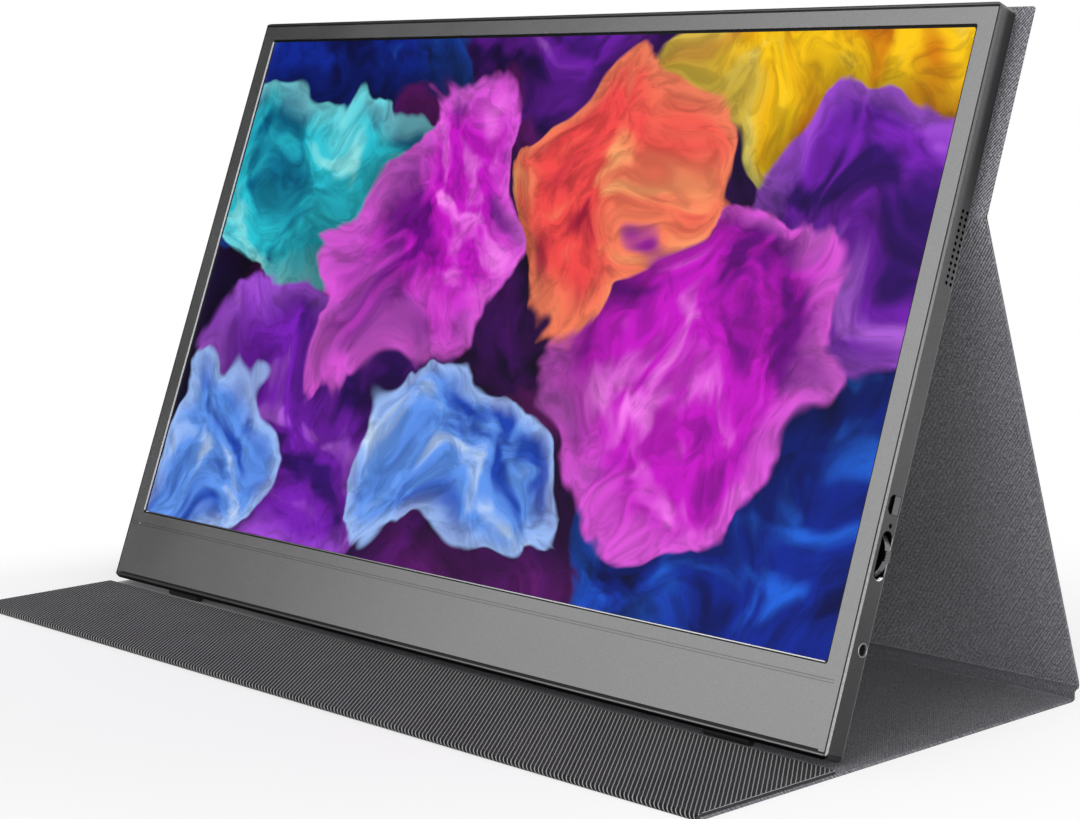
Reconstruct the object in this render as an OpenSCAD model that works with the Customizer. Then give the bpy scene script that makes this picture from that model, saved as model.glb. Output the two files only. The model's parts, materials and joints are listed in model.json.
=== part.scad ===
// Portable monitor standing in its folding cover.
// Millimetres. X runs along the screen's width, Y to the back, Z up from the table.
// The origin is on the table, below the middle of the monitor's front bottom edge.
// Inside the monitor, places are given as u (across), v (up the screen from the
// body's bottom edge) and n (depth behind the bezel's front face).

/* [Display panel] */
// Width of the picture area
screen_w = 344.2; // [300:0.1:380]
// Height of the picture area
screen_h = 193.6; // [165:0.1:220]
// Thickness of the display glass
glass_t = 0.8; // [0.6:0.05:0.9]
// Thickness of the light guide with its films
guide_t = 1.1; // [0.8:0.05:1.2]
// Sheet thickness of the panel's metal tray
tray_t = 0.3; // [0.2:0.05:0.35]
// Black margin from the picture to the glass edge at the sides and the top
glass_margin = 2.3; // [1.8:0.1:3]
// Glass below the picture, which carries the connections
glass_foot = 8; // [6:0.5:10]
// Width of the lamp bar under the light guide
lamp_bar_h = 2; // [1:0.1:3]

/* [Monitor body] */
// Body width beside the picture, on each side
side_border = 8.15; // [7.5:0.05:12]
// Body height above the picture
top_border = 7.9; // [7.5:0.1:12]
// Body height below the picture
chin_h = 27.5; // [25:0.1:40]
// Thickness of the body at its rim
body_t = 7.75; // [7.7:0.05:9]
// Corner radius of the body
corner_r = 2.4; // [2:0.1:3]
// Thickness of the side walls
wall_t = 1.15; // [1.05:0.05:1.4]
// Bevel along the front edge of the body, at the sides and the top
edge_bevel = 0.55; // [0.4:0.05:0.7]
// Bevel along the front bottom edge of the body
bottom_bevel = 1.2; // [0.8:0.05:1.4]
// Flat lip between the bevel and the bezel's groove, at the sides
side_lip = 0.15; // [0.1:0.05:0.3]
// Flat lip between the bevel and the bezel's groove, at the top and the bottom
end_lip = 0.45; // [0.2:0.05:0.6]
// Bevel along the rear edge of the body
rear_bevel = 0.3; // [0.1:0.05:0.4]
// Thickness of the back wall
back_t = 0.8; // [0.6:0.05:0.85]
// Height of the raised middle of the back
bulge_h = 2.65; // [2.2:0.05:4]
// Distance from the body's edge to the raised middle
bulge_inset = 16; // [15:0.5:24]
// Thickness of the bezel plate
bezel_t = 0.7; // [0.5:0.05:0.75]
// Groove between the bezel plate and the lip, at the sides
side_groove = 0.4; // [0.2:0.05:0.6]
// Groove between the bezel plate and the lip, at the top
top_groove = 0.7; // [0.3:0.05:0.9]
// Groove between the bezel plate and the lip, along the bottom
chin_groove = 0.95; // [0.5:0.05:1.2]
// Opening of the bezel beyond the picture, at each side
opening_gap = 0.9; // [0.5:0.1:1.4]
// Corner radius of the bezel's opening
opening_r = 1; // [0.4:0.1:1.4]
// Height of the fine seam across the chin
seam_v = 21.7; // [18:0.1:23]
// Width of the chin's seam
seam_w = 0.9; // [0.5:0.1:1.5]

/* [Side controls] */
// Centre height of the power button
power_v = 75.7; // [73.5:0.1:79]
// Length of the power button's opening
power_len = 5.8; // [5:0.1:7]
// Width of the power button's opening
power_w = 3.2; // [2.6:0.1:3.3]
// Travel of the power button
power_travel = 0.4; // [0.2:0.05:0.5]
// Height of the status light
led_v = 69.5; // [69.1:0.1:70.4]
// Radius of the status light's pipe
led_r = 0.7; // [0.4:0.05:0.75]
// Centre height of the jog lever's slot
jog_v = 60.65; // [59.4:0.05:61]
// Length of the jog lever's slot
jog_slot_len = 14.5; // [13.9:0.1:15]
// Width of the jog lever's slot
jog_slot_w = 4.7; // [4.2:0.1:4.7]
// Width of the jog lever
jog_w = 2.4; // [2.4:0.1:2.8]
// Half length of the jog lever's arc
jog_reach = 6.2; // [5:0.1:6.4]
// Radius of the jog lever's arc
jog_arc_r = 8; // [7.6:0.1:9]
// Radius of the jog lever's pin
jog_pin_r = 0.5; // [0.4:0.05:0.6]
// Depth of the jog lever's pin behind the side wall's outer face
jog_pin_depth = 5.4; // [5:0.1:5.8]
// How far the jog lever's nub stands proud of the side wall
jog_proud = 1.25; // [1:0.05:1.4]
// Travel of the jog lever when it is pressed in
jog_travel = 0.4; // [0.2:0.05:0.5]
// Depth of the control board behind the side wall's outer face
control_depth = 16; // [15.5:0.1:17]

/* [Sockets and sound] */
// Height of the headphone socket
jack_v = 32.9; // [31.4:0.1:36]
// Bore radius of the headphone socket
jack_r = 1.8; // [1.76:0.01:1.85]
// Depth of the headphone socket's bore
jack_depth = 13; // [10:0.5:13.5]
// Radius of the headphone socket's collar
jack_collar_r = 2.15; // [2:0.05:2.2]
// Heights of the lower USB-C socket
usb_v = 46.4; // [45.4:0.5:48.4]
// Distance between the two USB-C sockets
usb_pitch = 16; // [14:0.5:17]
// Height of the mini HDMI socket
hdmi_v = 81.4; // [79.4:0.5:86.4]
// Height of the lowest speaker hole
grille_v = 142.9; // [138.4:0.5:150.4]
// Distance between speaker holes along the row
grille_pitch = 2; // [1.7:0.05:2.2]
// Speaker holes in a row
grille_holes = 12; // [8:1:12]
// Radius of a speaker hole
grille_r = 0.6; // [0.35:0.01:0.65]
// Distance between the two rows of speaker holes
grille_rows = 2.2; // [1.8:0.1:2.4]

/* [Boards] */
// Thickness of the circuit boards
pcb_t = 1; // [0.8:0.1:1.1]
// Width of the main board
main_pcb_w = 118; // [110:1:120]
// Height of the main board
main_pcb_h = 82; // [80:1:90]
// Height of the main board's lower edge
main_pcb_v = 30.4; // [26.4:1:32.4]

/* [Feet] */
// Radius of the rounded rubber feet
foot_r = 1.5; // [1.4:0.05:2]
// Distance of the feet's centre line behind the bezel
foot_n = 5.2; // [4:0.1:5.6]
// Centre of the feet's roundness below the body
foot_drop = 0.07; // [0.05:0.01:0.5]
// Length of a foot
foot_len = 18.2; // [12:0.1:40]
// Distance of a foot's centre from the middle
foot_u = 139; // [60:1:145]

/* [Cover] */
// Thickness of the cover's outer skin
skin_t = 0.3; // [0.2:0.05:0.4]
// Thickness of the stiff boards inside the cover
board_t = 0.5; // [0.3:0.05:0.8]
// Thickness of the cover's lining
lining_t = 0.25; // [0.15:0.05:0.4]
// Width of the skin's turned edge around the lining
hem_w = 0.8; // [0.6:0.1:1.6]
// How far the cover stands out beside the monitor
cover_side = 3.55; // [2:0.05:8]
// How far the cover stands out above the monitor
cover_top = 2.35; // [1:0.05:8]
// Height of the upper panel, which holds the monitor
upper_h = 66; // [50:0.5:90]
// Depth of the front flap, from its free edge to its fold
flap_w = 57; // [40:0.1:70]
// Free edge of the flap behind the monitor's front bottom edge
flap_stop = 0.54; // [-0.5:0.01:0.55]
// Width of the soft heel strip between base and leg
heel_w = 5; // [4.4:0.1:12]
// Half width of a soft fold between two panels
fold_half = 0.5; // [0.4:0.05:0.8]
// Air between the flap and the base when it is folded back
layer_gap = 0.05; // [0.02:0.01:0.5]
// Gap between the monitor's back and the cover's lining
magnet_gap = 0.1; // [0.05:0.05:0.3]

/* [Stand] */
// Lean of the screen from upright
screen_tilt = 20.35; // [16:0.05:23]
// Lean of the leg from upright
leg_lean = 19.15; // [14:0.05:25]
// Slope of the heel strip above the table
heel_slope = 57.4; // [40:0.1:75]

/* [Hidden] */
$fn = 48;
eps = 0.01;

// Monitor body
body_w = screen_w + 2 * side_border;
body_h = chin_h + screen_h + top_border;
side_rim = edge_bevel + side_lip;
top_rim = edge_bevel + end_lip;
bottom_rim = bottom_bevel + end_lip;
rim_w = body_w - 2 * side_rim;
rim_h = body_h - top_rim - bottom_rim;
rim_r = 0.5;
plate_w = rim_w - 2 * side_groove;
plate_v = bottom_rim + side_groove;
plate_h = body_h - top_rim - top_groove - plate_v;
plate_r = 0.3;
plate_nub = 2.2;
cavity_w = body_w - 2 * wall_t;
cavity_h = body_h - wall_t - bottom_rim;
cavity_r = 0.6;
back_inner = body_t - back_t;
bulge_w = body_w - 2 * bulge_inset;
bulge_top = body_t + bulge_h;
bulge_r = 6;
seat_gap = 0.15;

// Display panel stack, from front to back
film_gap = 0.05;
glass_n = bezel_t + film_gap;
guide_n = glass_n + glass_t + film_gap;
tray_n = guide_n + guide_t + film_gap;
panel_back = tray_n + tray_t;
panel_w = screen_w + 2 * glass_margin;
panel_v = chin_h - glass_foot;
panel_h = screen_h + glass_foot + glass_margin;
tray_wall = 0.25;

// Boards
board_clear = 1.45;
pcb_n = panel_back + board_clear;
pcb_edge_gap = 0.5;
main_pcb_u = -body_w / 2 + wall_t + pcb_edge_gap;
port_n = pcb_n + pcb_t / 2;
post_r = 2;
post_inset = [26, 8];
driver_board_t = 0.6;
driver_board_w = 190;
driver_board_h = 9;
driver_board_v = panel_v + 5;
cable_t = 0.15;

// Side wall and the control board behind it
wall_u = body_w / 2;
inner_u = wall_u - wall_t;
control_u = wall_u - control_depth;
part_gap = 0.1;
control_n = panel_back + part_gap;
control_max_n = back_inner - part_gap;
control_mid_n = (control_n + control_max_n) / 2 - 0.4;
jog_slot_n = control_mid_n - 0.05;
jog_n = jog_slot_n + 0.7;
jog_pin_u = wall_u - jog_pin_depth;
jog_arc_u = wall_u + 0.7;
jog_ear_t = 0.6;
jog_hub_r = 1.5;
jog_run = 0.06;
jack_h = 2 * jack_r + 0.66;
jack_n = control_n + jack_h / 2;
power_n = control_max_n + 0.1 - power_w / 2;
grille_n = control_n + 1;

// Speakers
speaker_w = 15;
speaker_margin = 1.6;
speaker_v = grille_v - speaker_margin;
speaker_h = (grille_holes - 1) * grille_pitch + 2 * speaker_margin;
mesh_t = 0.4;

// Case screws
screw_edge = 4.2;
screw_r = 0.8;
screw_head_r = 1.5;
screw_head_h = 0.6;
screw_post_r = 1.45;

// Feet
front_edge_z = skin_t + board_t + lining_t + layer_gap + foot_r
  + foot_drop * cos(screen_tilt) + foot_n * sin(screen_tilt);
foot_plug_w = 2.3;
foot_plug_h = 0.7;

// Cover
cover_t = skin_t + board_t + lining_t;
cover_w = body_w + 2 * cover_side;
cover_corner = 0.6;
lining_gap = 0.05;
fabric_gap = 0.02;
heel_hem = 0.8;
cover_mid_n = bulge_top + magnet_gap + cover_t / 2;
fold_v = body_h + cover_top - upper_h;
leg_dir = 90 + leg_lean;
upper_dir = 90 - screen_tilt;
back_fold = on_screen(fold_v, cover_mid_n);
heel_z = cover_t / 2 + heel_w * sin(heel_slope);
leg_len = (back_fold[1] - heel_z) / sin(leg_dir);
leg_fold = back_fold - leg_len * heading(leg_dir);
heel_fold = leg_fold - heel_w * heading(heel_slope);
front_fold_y = flap_stop - flap_w;
front_fold_z = cover_t + layer_gap / 2;
front_fold_half = 2 * fold_half;
magnet_w = 40;
magnet_h = 14;
magnet_edge = 14;

// A point of the monitor's middle plane, as [y, z]
function on_screen(v, n) = [
  v * sin(screen_tilt) + n * cos(screen_tilt),
  front_edge_z + v * cos(screen_tilt) - n * sin(screen_tilt)
];

// Direction in the Y-Z plane, and the inner side of a panel that runs that way
function heading(a) = [cos(a), sin(a)];
function inward(a) = [-sin(a), cos(a)];

// Outline of a slab's section, with its own bevel at each front edge and one rear bevel,
// as [depth, place] from low to high
function slab_profile(low, high, t, front_low, front_high, rear) = [
  [0, low + front_low], [front_low, low], [t - rear, low], [t, low + rear],
  [t, high - rear], [t - rear, high], [front_high, high], [0, high - front_high]
];

// ---- Helpers ----

// Places u-n-v geometry on the leaning monitor
module on_monitor() {
  translate([0, 0, front_edge_z])
    rotate([-screen_tilt, 0, 0])
      children();
}

// A flat plate from depth n, t thick, whose outline is drawn in u and v
module plate(n, t) {
  translate([0, n + t, 0])
    rotate([90, 0, 0])
      linear_extrude(t)
        children();
}

// A bar along X whose section is drawn in Y and Z
module bar(x, len) {
  translate([x, 0, 0])
    rotate([90, 0, 90])
      linear_extrude(len)
        children();
}

// A round rod along X
module rod(x, n, v, r, len) {
  translate([x, n, v])
    rotate([0, 90, 0])
      cylinder(r = r, h = len);
}

// A box from its lowest corner in u, n and v
module block(u, n, v, size) {
  translate([u, n, v])
    cube(size);
}

// A rounded rectangle, centred across and starting at height v
module rounded(w, h, r, v = 0) {
  translate([0, v + h / 2]) {
    square([w - 2 * r, h], center = true);
    square([w, h - 2 * r], center = true);
    for (x = [-1, 1], y = [-1, 1])
      translate([x * (w / 2 - r), y * (h / 2 - r)])
        circle(r);
  }
}

// A slot outline with round ends, centred, longer along its second axis
module stadium(w, len) {
  square([w, len - w], center = true);
  for (s = [-1, 1])
    translate([0, s * (len - w) / 2])
      circle(w / 2);
}

// A slot along X through a side wall, drawn in n and v
module side_slot(u, n, v, w, len, depth) {
  translate([0, n, v])
    bar(u, depth)
      stadium(w, len);
}

// A slab with rounded corners whose bevels meet in mitres
module bevelled_slab(w, h, r, t, side, bottom, rear) {
  intersection() {
    plate(0, t)
      rounded(w, h, r);
    bar(-w / 2, w)
      polygon(slab_profile(0, h, t, bottom, side, rear));
    linear_extrude(h)
      polygon([for (p = slab_profile(-w / 2, w / 2, t, side, side, rear)) [p[1], p[0]]]);
  }
}

// Heights of the speaker holes, given to a child drawn at each
module grille_spots() {
  for (i = [0 : grille_holes - 1], j = [0, 1])
    translate([0, grille_n + j * grille_rows, grille_v + i * grille_pitch])
      children();
}

// Places of the case screws, across and up
module screw_spots() {
  for (u = [-1, 0, 1], v = [screw_edge, body_h - screw_edge])
    translate([u * (body_w / 2 - screw_edge), 0, v])
      children();
}

// Places of the main board's posts
module post_spots() {
  for (i = [0, 1], j = [0, 1])
    translate([
      main_pcb_u + post_inset[0] + i * (main_pcb_w - post_inset[0] - post_inset[1]),
      0,
      main_pcb_v + post_inset[1] + j * (main_pcb_h - 2 * post_inset[1])
    ])
      children();
}

// ---- Monitor shells ----

module shell_body() {
  bevelled_slab(body_w, body_h, corner_r, body_t, edge_bevel, bottom_bevel, rear_bevel);
  translate([0, body_t - eps, bulge_inset])
    bevelled_slab(bulge_w, body_h - 2 * bulge_inset, bulge_r, bulge_h + eps, 0, 0, 1.2);
}

module shell_cavity() {
  plate(-1, bezel_t + film_gap + 1)
    rounded(rim_w, rim_h, rim_r, bottom_rim);
  plate(-1, back_inner + 1)
    rounded(cavity_w, cavity_h, cavity_r, bottom_rim);
  plate(back_inner - eps, bulge_h + eps)
    rounded(bulge_w - 3, body_h - 2 * bulge_inset - 3, bulge_r - 1.5, bulge_inset + 1.5);
}

module right_wall_cuts() {
  cut = wall_t + 2;
  grille_spots()
    rod(inner_u - 1, 0, 0, grille_r, cut);
  rod(inner_u - 1, control_mid_n, led_v, led_r + 0.05, cut);
  rod(inner_u - 1, jack_n, jack_v, jack_collar_r + 0.05, cut);
  side_slot(inner_u - 1, jog_slot_n, jog_v, jog_slot_w, jog_slot_len, cut);
  block(inner_u - 1, power_n - power_w / 2, power_v - power_len / 2, [cut, power_w, power_len]);
  power_scoop();
}

// A hollow in front of the power button for the fingertip, with cut corners
module power_scoop() {
  scoop_depth = 0.7;
  scoop_w = 2.2;
  corner = 1.2;
  rear = power_n - power_w / 2 + eps;
  front = rear - scoop_w;
  half = power_len / 2;
  intersection() {
    translate([0, 0, power_v - half])
      linear_extrude(power_len)
        polygon([
          [wall_u + eps, front], [wall_u + eps, rear],
          [wall_u - scoop_depth, rear], [wall_u - scoop_depth, front + 0.9]
        ]);
    translate([0, 0, power_v])
      bar(wall_u - scoop_depth - 1, scoop_depth + 2)
        polygon([
          [front - 1, corner + 1 - half], [front + corner, -half], [rear + 1, -half],
          [rear + 1, half], [front + corner, half], [front - 1, half - corner - 1]
        ]);
  }
}

// Bevel around the mouth of the jog lever's slot
module jog_slot_bevel() {
  b = 0.2;
  end = (jog_slot_len - jog_slot_w) / 2;
  half = jog_slot_w / 2;
  translate([wall_u - b, jog_slot_n, jog_v]) {
    for (s = [-1, 1])
      translate([0, 0, s * end])
        rotate([0, 90, 0])
          cylinder(r1 = half, r2 = half + b, h = b);
    translate([0, 0, -end])
      linear_extrude(2 * end)
        polygon([[0, -half], [b, -half - b], [b, half + b], [0, half]]);
  }
}

module left_wall_cuts() {
  cut = wall_t + 2;
  outer = -wall_u - 1;
  grille_spots()
    rod(outer, 0, 0, grille_r, cut);
  for (i = [0, 1])
    side_slot(outer, port_n, usb_v + i * usb_pitch, 3.46, 9.24, cut);
  translate([0, port_n, hdmi_v])
    bar(outer, cut)
      square([3.5, 11.5], center = true);
}

// Rubber foot pockets in the bottom wall
module foot_pockets() {
  for (s = [-1, 1])
    block(s * foot_u - foot_len / 2, foot_n - foot_plug_w / 2, -1,
      [foot_len, foot_plug_w, foot_plug_h + 1]);
}

module rear_shell() {
  color([0.40, 0.40, 0.41])
    on_monitor() {
      difference() {
        shell_body();
        shell_cavity();
        right_wall_cuts();
        jog_slot_bevel();
        left_wall_cuts();
        foot_pockets();
        jack_relief();
        screw_spots()
          screw_shape(0.05);
      }
      post_spots()
        board_post();
    }
}

// Thins the back wall behind the headphone socket
module jack_relief() {
  block(control_u, control_n, jack_v - jack_h / 2 - 0.2,
    [inner_u - control_u - eps, jack_h + 0.05, jack_h + 0.4]);
}

// A post from the raised back to the main board
module board_post() {
  translate([0, pcb_n + pcb_t, 0])
    rotate([-90, 0, 0])
      cylinder(r = post_r, h = bulge_top - back_t - pcb_n - pcb_t + 0.3);
}

module front_bezel() {
  color([0.52, 0.52, 0.53])
    on_monitor()
      difference() {
        plate(0, bezel_t)
          rounded(plate_w, plate_h, plate_r, plate_v);
        plate(-1, bezel_t + 2)
          rounded(screen_w + 2 * opening_gap, screen_h + 2 * opening_gap, opening_r,
            chin_h - opening_gap);
        plate(-1, bezel_t + 2)
          translate([-plate_w / 2 + plate_nub, bottom_rim])
            square([plate_w - 2 * plate_nub, chin_groove]);
        plate(-1, 1.12)
          translate([-screen_w / 2 - 1.4, seam_v])
            square([screen_w + 6.3, seam_w]);
      }
}

module inner_frame() {
  pocket_w = panel_w + 2 * seat_gap;
  pocket_h = panel_h + 2 * seat_gap;
  web_gap = 58;
  color([0.12, 0.12, 0.12])
    on_monitor()
      difference() {
        union() {
          plate(bezel_t, panel_back - bezel_t)
            rounded(cavity_w - 2 * seat_gap, cavity_h - 2 * seat_gap, cavity_r - seat_gap,
              bottom_rim + seat_gap);
          screw_spots()
            translate([0, panel_back - 0.3, 0])
              rotate([-90, 0, 0])
                cylinder(r = screw_post_r, h = back_inner - seat_gap - panel_back + 0.3);
        }
        plate(bezel_t - 1, panel_back - bezel_t + 1)
          translate([-pocket_w / 2, panel_v - seat_gap])
            square([pocket_w, pocket_h]);
        for (i = [-2 : 2])
          plate(bezel_t - 1, panel_back - bezel_t + 2)
            translate([i * (web_gap + 6) - web_gap / 2, bottom_rim + 6])
              square([web_gap, panel_v - bottom_rim - 8.4]);
        screw_spots()
          screw_shape(0.05);
      }
}

// A countersunk case screw, larger by grow, for the screw and its hole
module screw_shape(grow) {
  rotate([90, 0, 0])
    translate([0, 0, -body_t]) {
      translate([0, 0, -1])
        cylinder(r = screw_head_r + grow, h = 1 + 0.1);
      translate([0, 0, 0.1])
        cylinder(r1 = screw_head_r + grow, r2 = screw_r + grow, h = screw_head_h);
      cylinder(r = screw_r + grow, h = body_t - panel_back - 0.4 + grow);
    }
}

module case_screws() {
  color([0.25, 0.25, 0.26])
    on_monitor()
      screw_spots()
        difference() {
          screw_shape(0);
          block(-3, body_t - 0.05, -3, [6, 2, 6]);
          for (a = [0, 90])
            rotate([0, a, 0])
              block(-0.9, body_t - 0.35, -0.16, [1.8, 1, 0.32]);
        }
}

module rubber_feet() {
  color([0.06, 0.06, 0.06])
    on_monitor()
      for (s = [-1, 1])
        bar(s * foot_u - foot_len / 2 + 0.05, foot_len - 0.1) {
          difference() {
            translate([foot_n, -foot_drop])
              circle(foot_r);
            translate([foot_n - 2 * foot_r, 0])
              square(4 * foot_r);
          }
          translate([foot_n - foot_plug_w / 2 + 0.05, -foot_drop])
            square([foot_plug_w - 0.1, foot_drop + foot_plug_h - 0.05]);
        }
}

// ---- Display panel ----

module lcd_glass() {
  color([0.05, 0.05, 0.07])
    on_monitor()
      plate(glass_n, glass_t)
        translate([-panel_w / 2, panel_v])
          square([panel_w, panel_h]);
}

module light_guide() {
  inset = tray_wall + film_gap;
  color([0.93, 0.94, 0.95])
    on_monitor()
      plate(guide_n, guide_t)
        translate([-panel_w / 2 + inset, panel_v + lamp_bar_h + 2 * film_gap + inset])
          square([panel_w - 2 * inset, panel_h - lamp_bar_h - 2 * film_gap - 2 * inset]);
}

module led_bar() {
  inset = tray_wall + film_gap;
  color([0.95, 0.95, 0.8])
    on_monitor()
      plate(guide_n, guide_t)
        translate([-panel_w / 2 + inset, panel_v + inset])
          square([panel_w - 2 * inset, lamp_bar_h]);
}

module panel_tray() {
  color([0.70, 0.71, 0.72])
    on_monitor()
      difference() {
        plate(guide_n, panel_back - guide_n)
          translate([-panel_w / 2, panel_v])
            square([panel_w, panel_h]);
        plate(guide_n - 1, guide_t + film_gap + 1)
          translate([-panel_w / 2 + tray_wall, panel_v + tray_wall])
            square([panel_w - 2 * tray_wall, panel_h - 2 * tray_wall]);
      }
}

module panel_driver_board() {
  color([0.10, 0.30, 0.16])
    on_monitor() {
      block(-driver_board_w / 2, panel_back, driver_board_v,
        [driver_board_w, driver_board_t, driver_board_h]);
      for (u = [-20, 30, 60])
        block(u, panel_back + driver_board_t, driver_board_v + 2, [12, 0.5, driver_board_h - 4]);
    }
}

// Ribbon from the driver board up to the main board's front
module display_cable() {
  low = panel_back + driver_board_t;
  high = pcb_n - 0.03 - cable_t;
  cable_w = 20;
  v0 = driver_board_v + 1;
  v1 = driver_board_v + driver_board_h + 2;
  v2 = v1 + 3;
  v3 = v2 + 12;
  color([0.75, 0.55, 0.20])
    on_monitor()
      bar(main_pcb_u + main_pcb_w - cable_w - 12, cable_w)
        polygon([
          [low, v0], [low, v1], [high, v2], [high, v3],
          [high + cable_t, v3], [high + cable_t, v2 - 0.1], [low + cable_t, v1 - 0.1], [low + cable_t, v0]
        ]);
}

// ---- Boards and sockets ----

module main_board() {
  cut = 6.6;
  color([0.08, 0.28, 0.15])
    on_monitor()
      difference() {
        block(main_pcb_u, pcb_n, main_pcb_v, [main_pcb_w, pcb_t, main_pcb_h]);
        for (i = [0, 1])
          block(main_pcb_u - 1, pcb_n - 1, usb_v + i * usb_pitch - 4.62, [cut + 1, pcb_t + 2, 9.24]);
        block(main_pcb_u - 1, pcb_n - 1, hdmi_v - 5.75, [cut + 1, pcb_t + 2, 11.5]);
      }
}

// Chips, coils and connectors, each standing on one face of the main board
module board_components() {
  back = pcb_n + pcb_t;
  places = [
    [42, 30, 14, 14, 1.4], [66, 26, 26, 22, 2], [44, 54, 9, 9, 1.1], [60, 58, 7, 5, 2.2],
    [72, 58, 7, 5, 2.2], [84, 58, 10, 12, 1.5], [30, 20, 6, 6, 1.6], [96, 34, 12, 18, 1.8],
    [20, 46, 6, 5, 1], [56, 12, 16, 5, 1.6]
  ];
  front_places = [[46, 40, 10, 8, 0.9], [78, 44, 8, 8, 0.9], [60, 62, 12, 4, 0.8]];
  color([0.07, 0.07, 0.08])
    on_monitor() {
      for (p = places)
        block(main_pcb_u + p[0], back, main_pcb_v + p[1], [p[2], p[4], p[3]]);
      for (p = front_places)
        block(main_pcb_u + p[0], pcb_n - p[4], main_pcb_v + p[1], [p[2], p[4], p[3]]);
    }
}

module usb_c_sockets() {
  depth = 7.3;
  mouth = -wall_u + 0.2;
  color([0.72, 0.73, 0.74])
    on_monitor()
      for (i = [0, 1]) {
        v = usb_v + i * usb_pitch;
        difference() {
          side_slot(mouth, port_n, v, 3.16, 8.94, depth);
          side_slot(mouth - 1, port_n, v, 2.56, 8.34, depth);
        }
        block(mouth + 1, port_n - 0.35, v - 3.34, [depth - 1, 0.7, 6.68]);
      }
}

module mini_hdmi_socket() {
  depth = 7.5;
  mouth = -wall_u + 0.2;
  color([0.72, 0.73, 0.74])
    on_monitor()
      translate([0, port_n, hdmi_v]) {
        difference() {
          bar(mouth, depth)
            square([3.2, 11.2], center = true);
          bar(mouth - 1, depth)
            square([2.5, 10.5], center = true);
        }
        block(mouth + 1, -0.35, -4.2, [depth - 1, 0.7, 8.4]);
      }
}

module headphone_jack() {
  body_len = inner_u - control_u - pcb_t - 0.1;
  color([0.10, 0.10, 0.11])
    on_monitor()
      difference() {
        union() {
          block(inner_u - 0.05 - body_len, jack_n - jack_h / 2, jack_v - jack_h / 2,
            [body_len, jack_h, jack_h]);
          rod(inner_u - 0.5, jack_n, jack_v, jack_collar_r, wall_t + 0.5);
        }
        rod(wall_u - jack_depth, jack_n, jack_v, jack_r, jack_depth + 1);
      }
}

module control_board() {
  low = jack_v - jack_h / 2 - 1;
  high = power_v + power_len / 2 + 1;
  color([0.08, 0.28, 0.15])
    on_monitor()
      block(control_u - pcb_t, control_n, low, [pcb_t, control_max_n - control_n, high - low]);
}

// Flat cable from the control board to the main board, lying on the panel's back
module control_flex() {
  main_edge = main_pcb_u + main_pcb_w;
  v = jog_v - 3;
  color([0.75, 0.55, 0.20])
    on_monitor() {
      block(main_edge - 8, panel_back, v, [control_u - pcb_t - main_edge + 8, cable_t, 6]);
      block(main_edge - 8, panel_back + cable_t, v, [2, board_clear - cable_t, 6]);
      block(control_u - pcb_t - 1.6, panel_back + cable_t, v, [1.6, 1, 6]);
    }
}

// ---- Controls on the right side ----

module power_switch() {
  plunger_end = inner_u - 8;
  color([0.20, 0.20, 0.21])
    on_monitor() {
      block(control_u, control_n, power_v - 2.2, [4.4, control_max_n - control_n - 0.2, 4.4]);
      rod(control_u + 4.4, power_n - 0.3, power_v, 0.7, plunger_end - control_u - 4.4);
    }
}

module power_button() {
  gap = 0.15;
  cap_w = power_w - 2 * gap;
  cap_len = power_len - 2 * gap;
  flange = 0.45;
  flange_top = min(power_n + power_w / 2 + flange, control_max_n);
  flange_n = power_n - power_w / 2 - flange;
  stem_u = inner_u - 8 + power_travel + 0.1;
  back_u = inner_u - 1.1;
  color([0.45, 0.45, 0.46])
    on_monitor() {
      difference() {
        block(back_u, power_n - cap_w / 2, power_v - cap_len / 2,
          [wall_u - 0.05 - back_u, cap_w, cap_len]);
        block(back_u - 1, control_max_n, power_v - power_len, [wall_t / 2 + 1.7, 5, 2 * power_len]);
      }
      block(back_u, flange_n, power_v - power_len / 2 - flange,
        [1, flange_top - flange_n, power_len + 2 * flange]);
      rod(stem_u, power_n - 0.3, power_v, 0.9, back_u - stem_u + 0.5);
    }
}

module status_led() {
  color([0.85, 0.90, 0.95])
    on_monitor()
      block(control_u, control_mid_n - 0.6, led_v - 0.6, [0.9, 1.2, 1.2]);
}

module led_light_pipe() {
  color([0.90, 0.93, 0.95])
    on_monitor()
      rod(control_u + 1, control_mid_n, led_v, led_r, control_depth - 1.15);
}

module jog_switch() {
  color([0.20, 0.20, 0.21])
    on_monitor()
      block(control_u, control_n + 0.1, jog_v - 3.2, [4.2, 2.8, 6.4]);
}

// Yoke that carries the jog lever's pin and presses the switch
module jog_carrier() {
  back_u = control_u + 4.2 + jog_travel + 0.1;
  yoke_u = jog_pin_u - jog_hub_r - 0.4;
  yoke_half = jog_w / 2;
  color([0.15, 0.15, 0.16])
    on_monitor() {
      block(back_u, jog_n - yoke_half, jog_v - 2.4, [yoke_u - back_u, jog_w, 4.8]);
      for (s = [0, 1])
        block(yoke_u - eps, jog_n - yoke_half + s * (jog_w - jog_ear_t), jog_v - 1.2,
          [jog_pin_u + 1.1 - yoke_u, jog_ear_t, 2.4]);
      translate([jog_pin_u, jog_n - yoke_half + eps, jog_v])
        rotate([-90, 0, 0])
          cylinder(r = jog_pin_r, h = jog_w - 2 * eps);
    }
}

// Rocking lever: a curved bar with a knurled nub in the middle, on a narrow hub
module jog_lever() {
  hub_w = jog_w - 2 * jog_ear_t - 0.2;
  color([0.50, 0.50, 0.51])
    on_monitor()
      translate([0, 0, jog_v])
        difference() {
          union() {
            jog_layer(jog_w)
              jog_arc();
            jog_layer(hub_w)
              jog_web();
          }
          translate([jog_pin_u, jog_n - jog_w, 0])
            rotate([-90, 0, 0])
              cylinder(r = jog_pin_r + jog_run, h = 2 * jog_w);
        }
}

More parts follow.
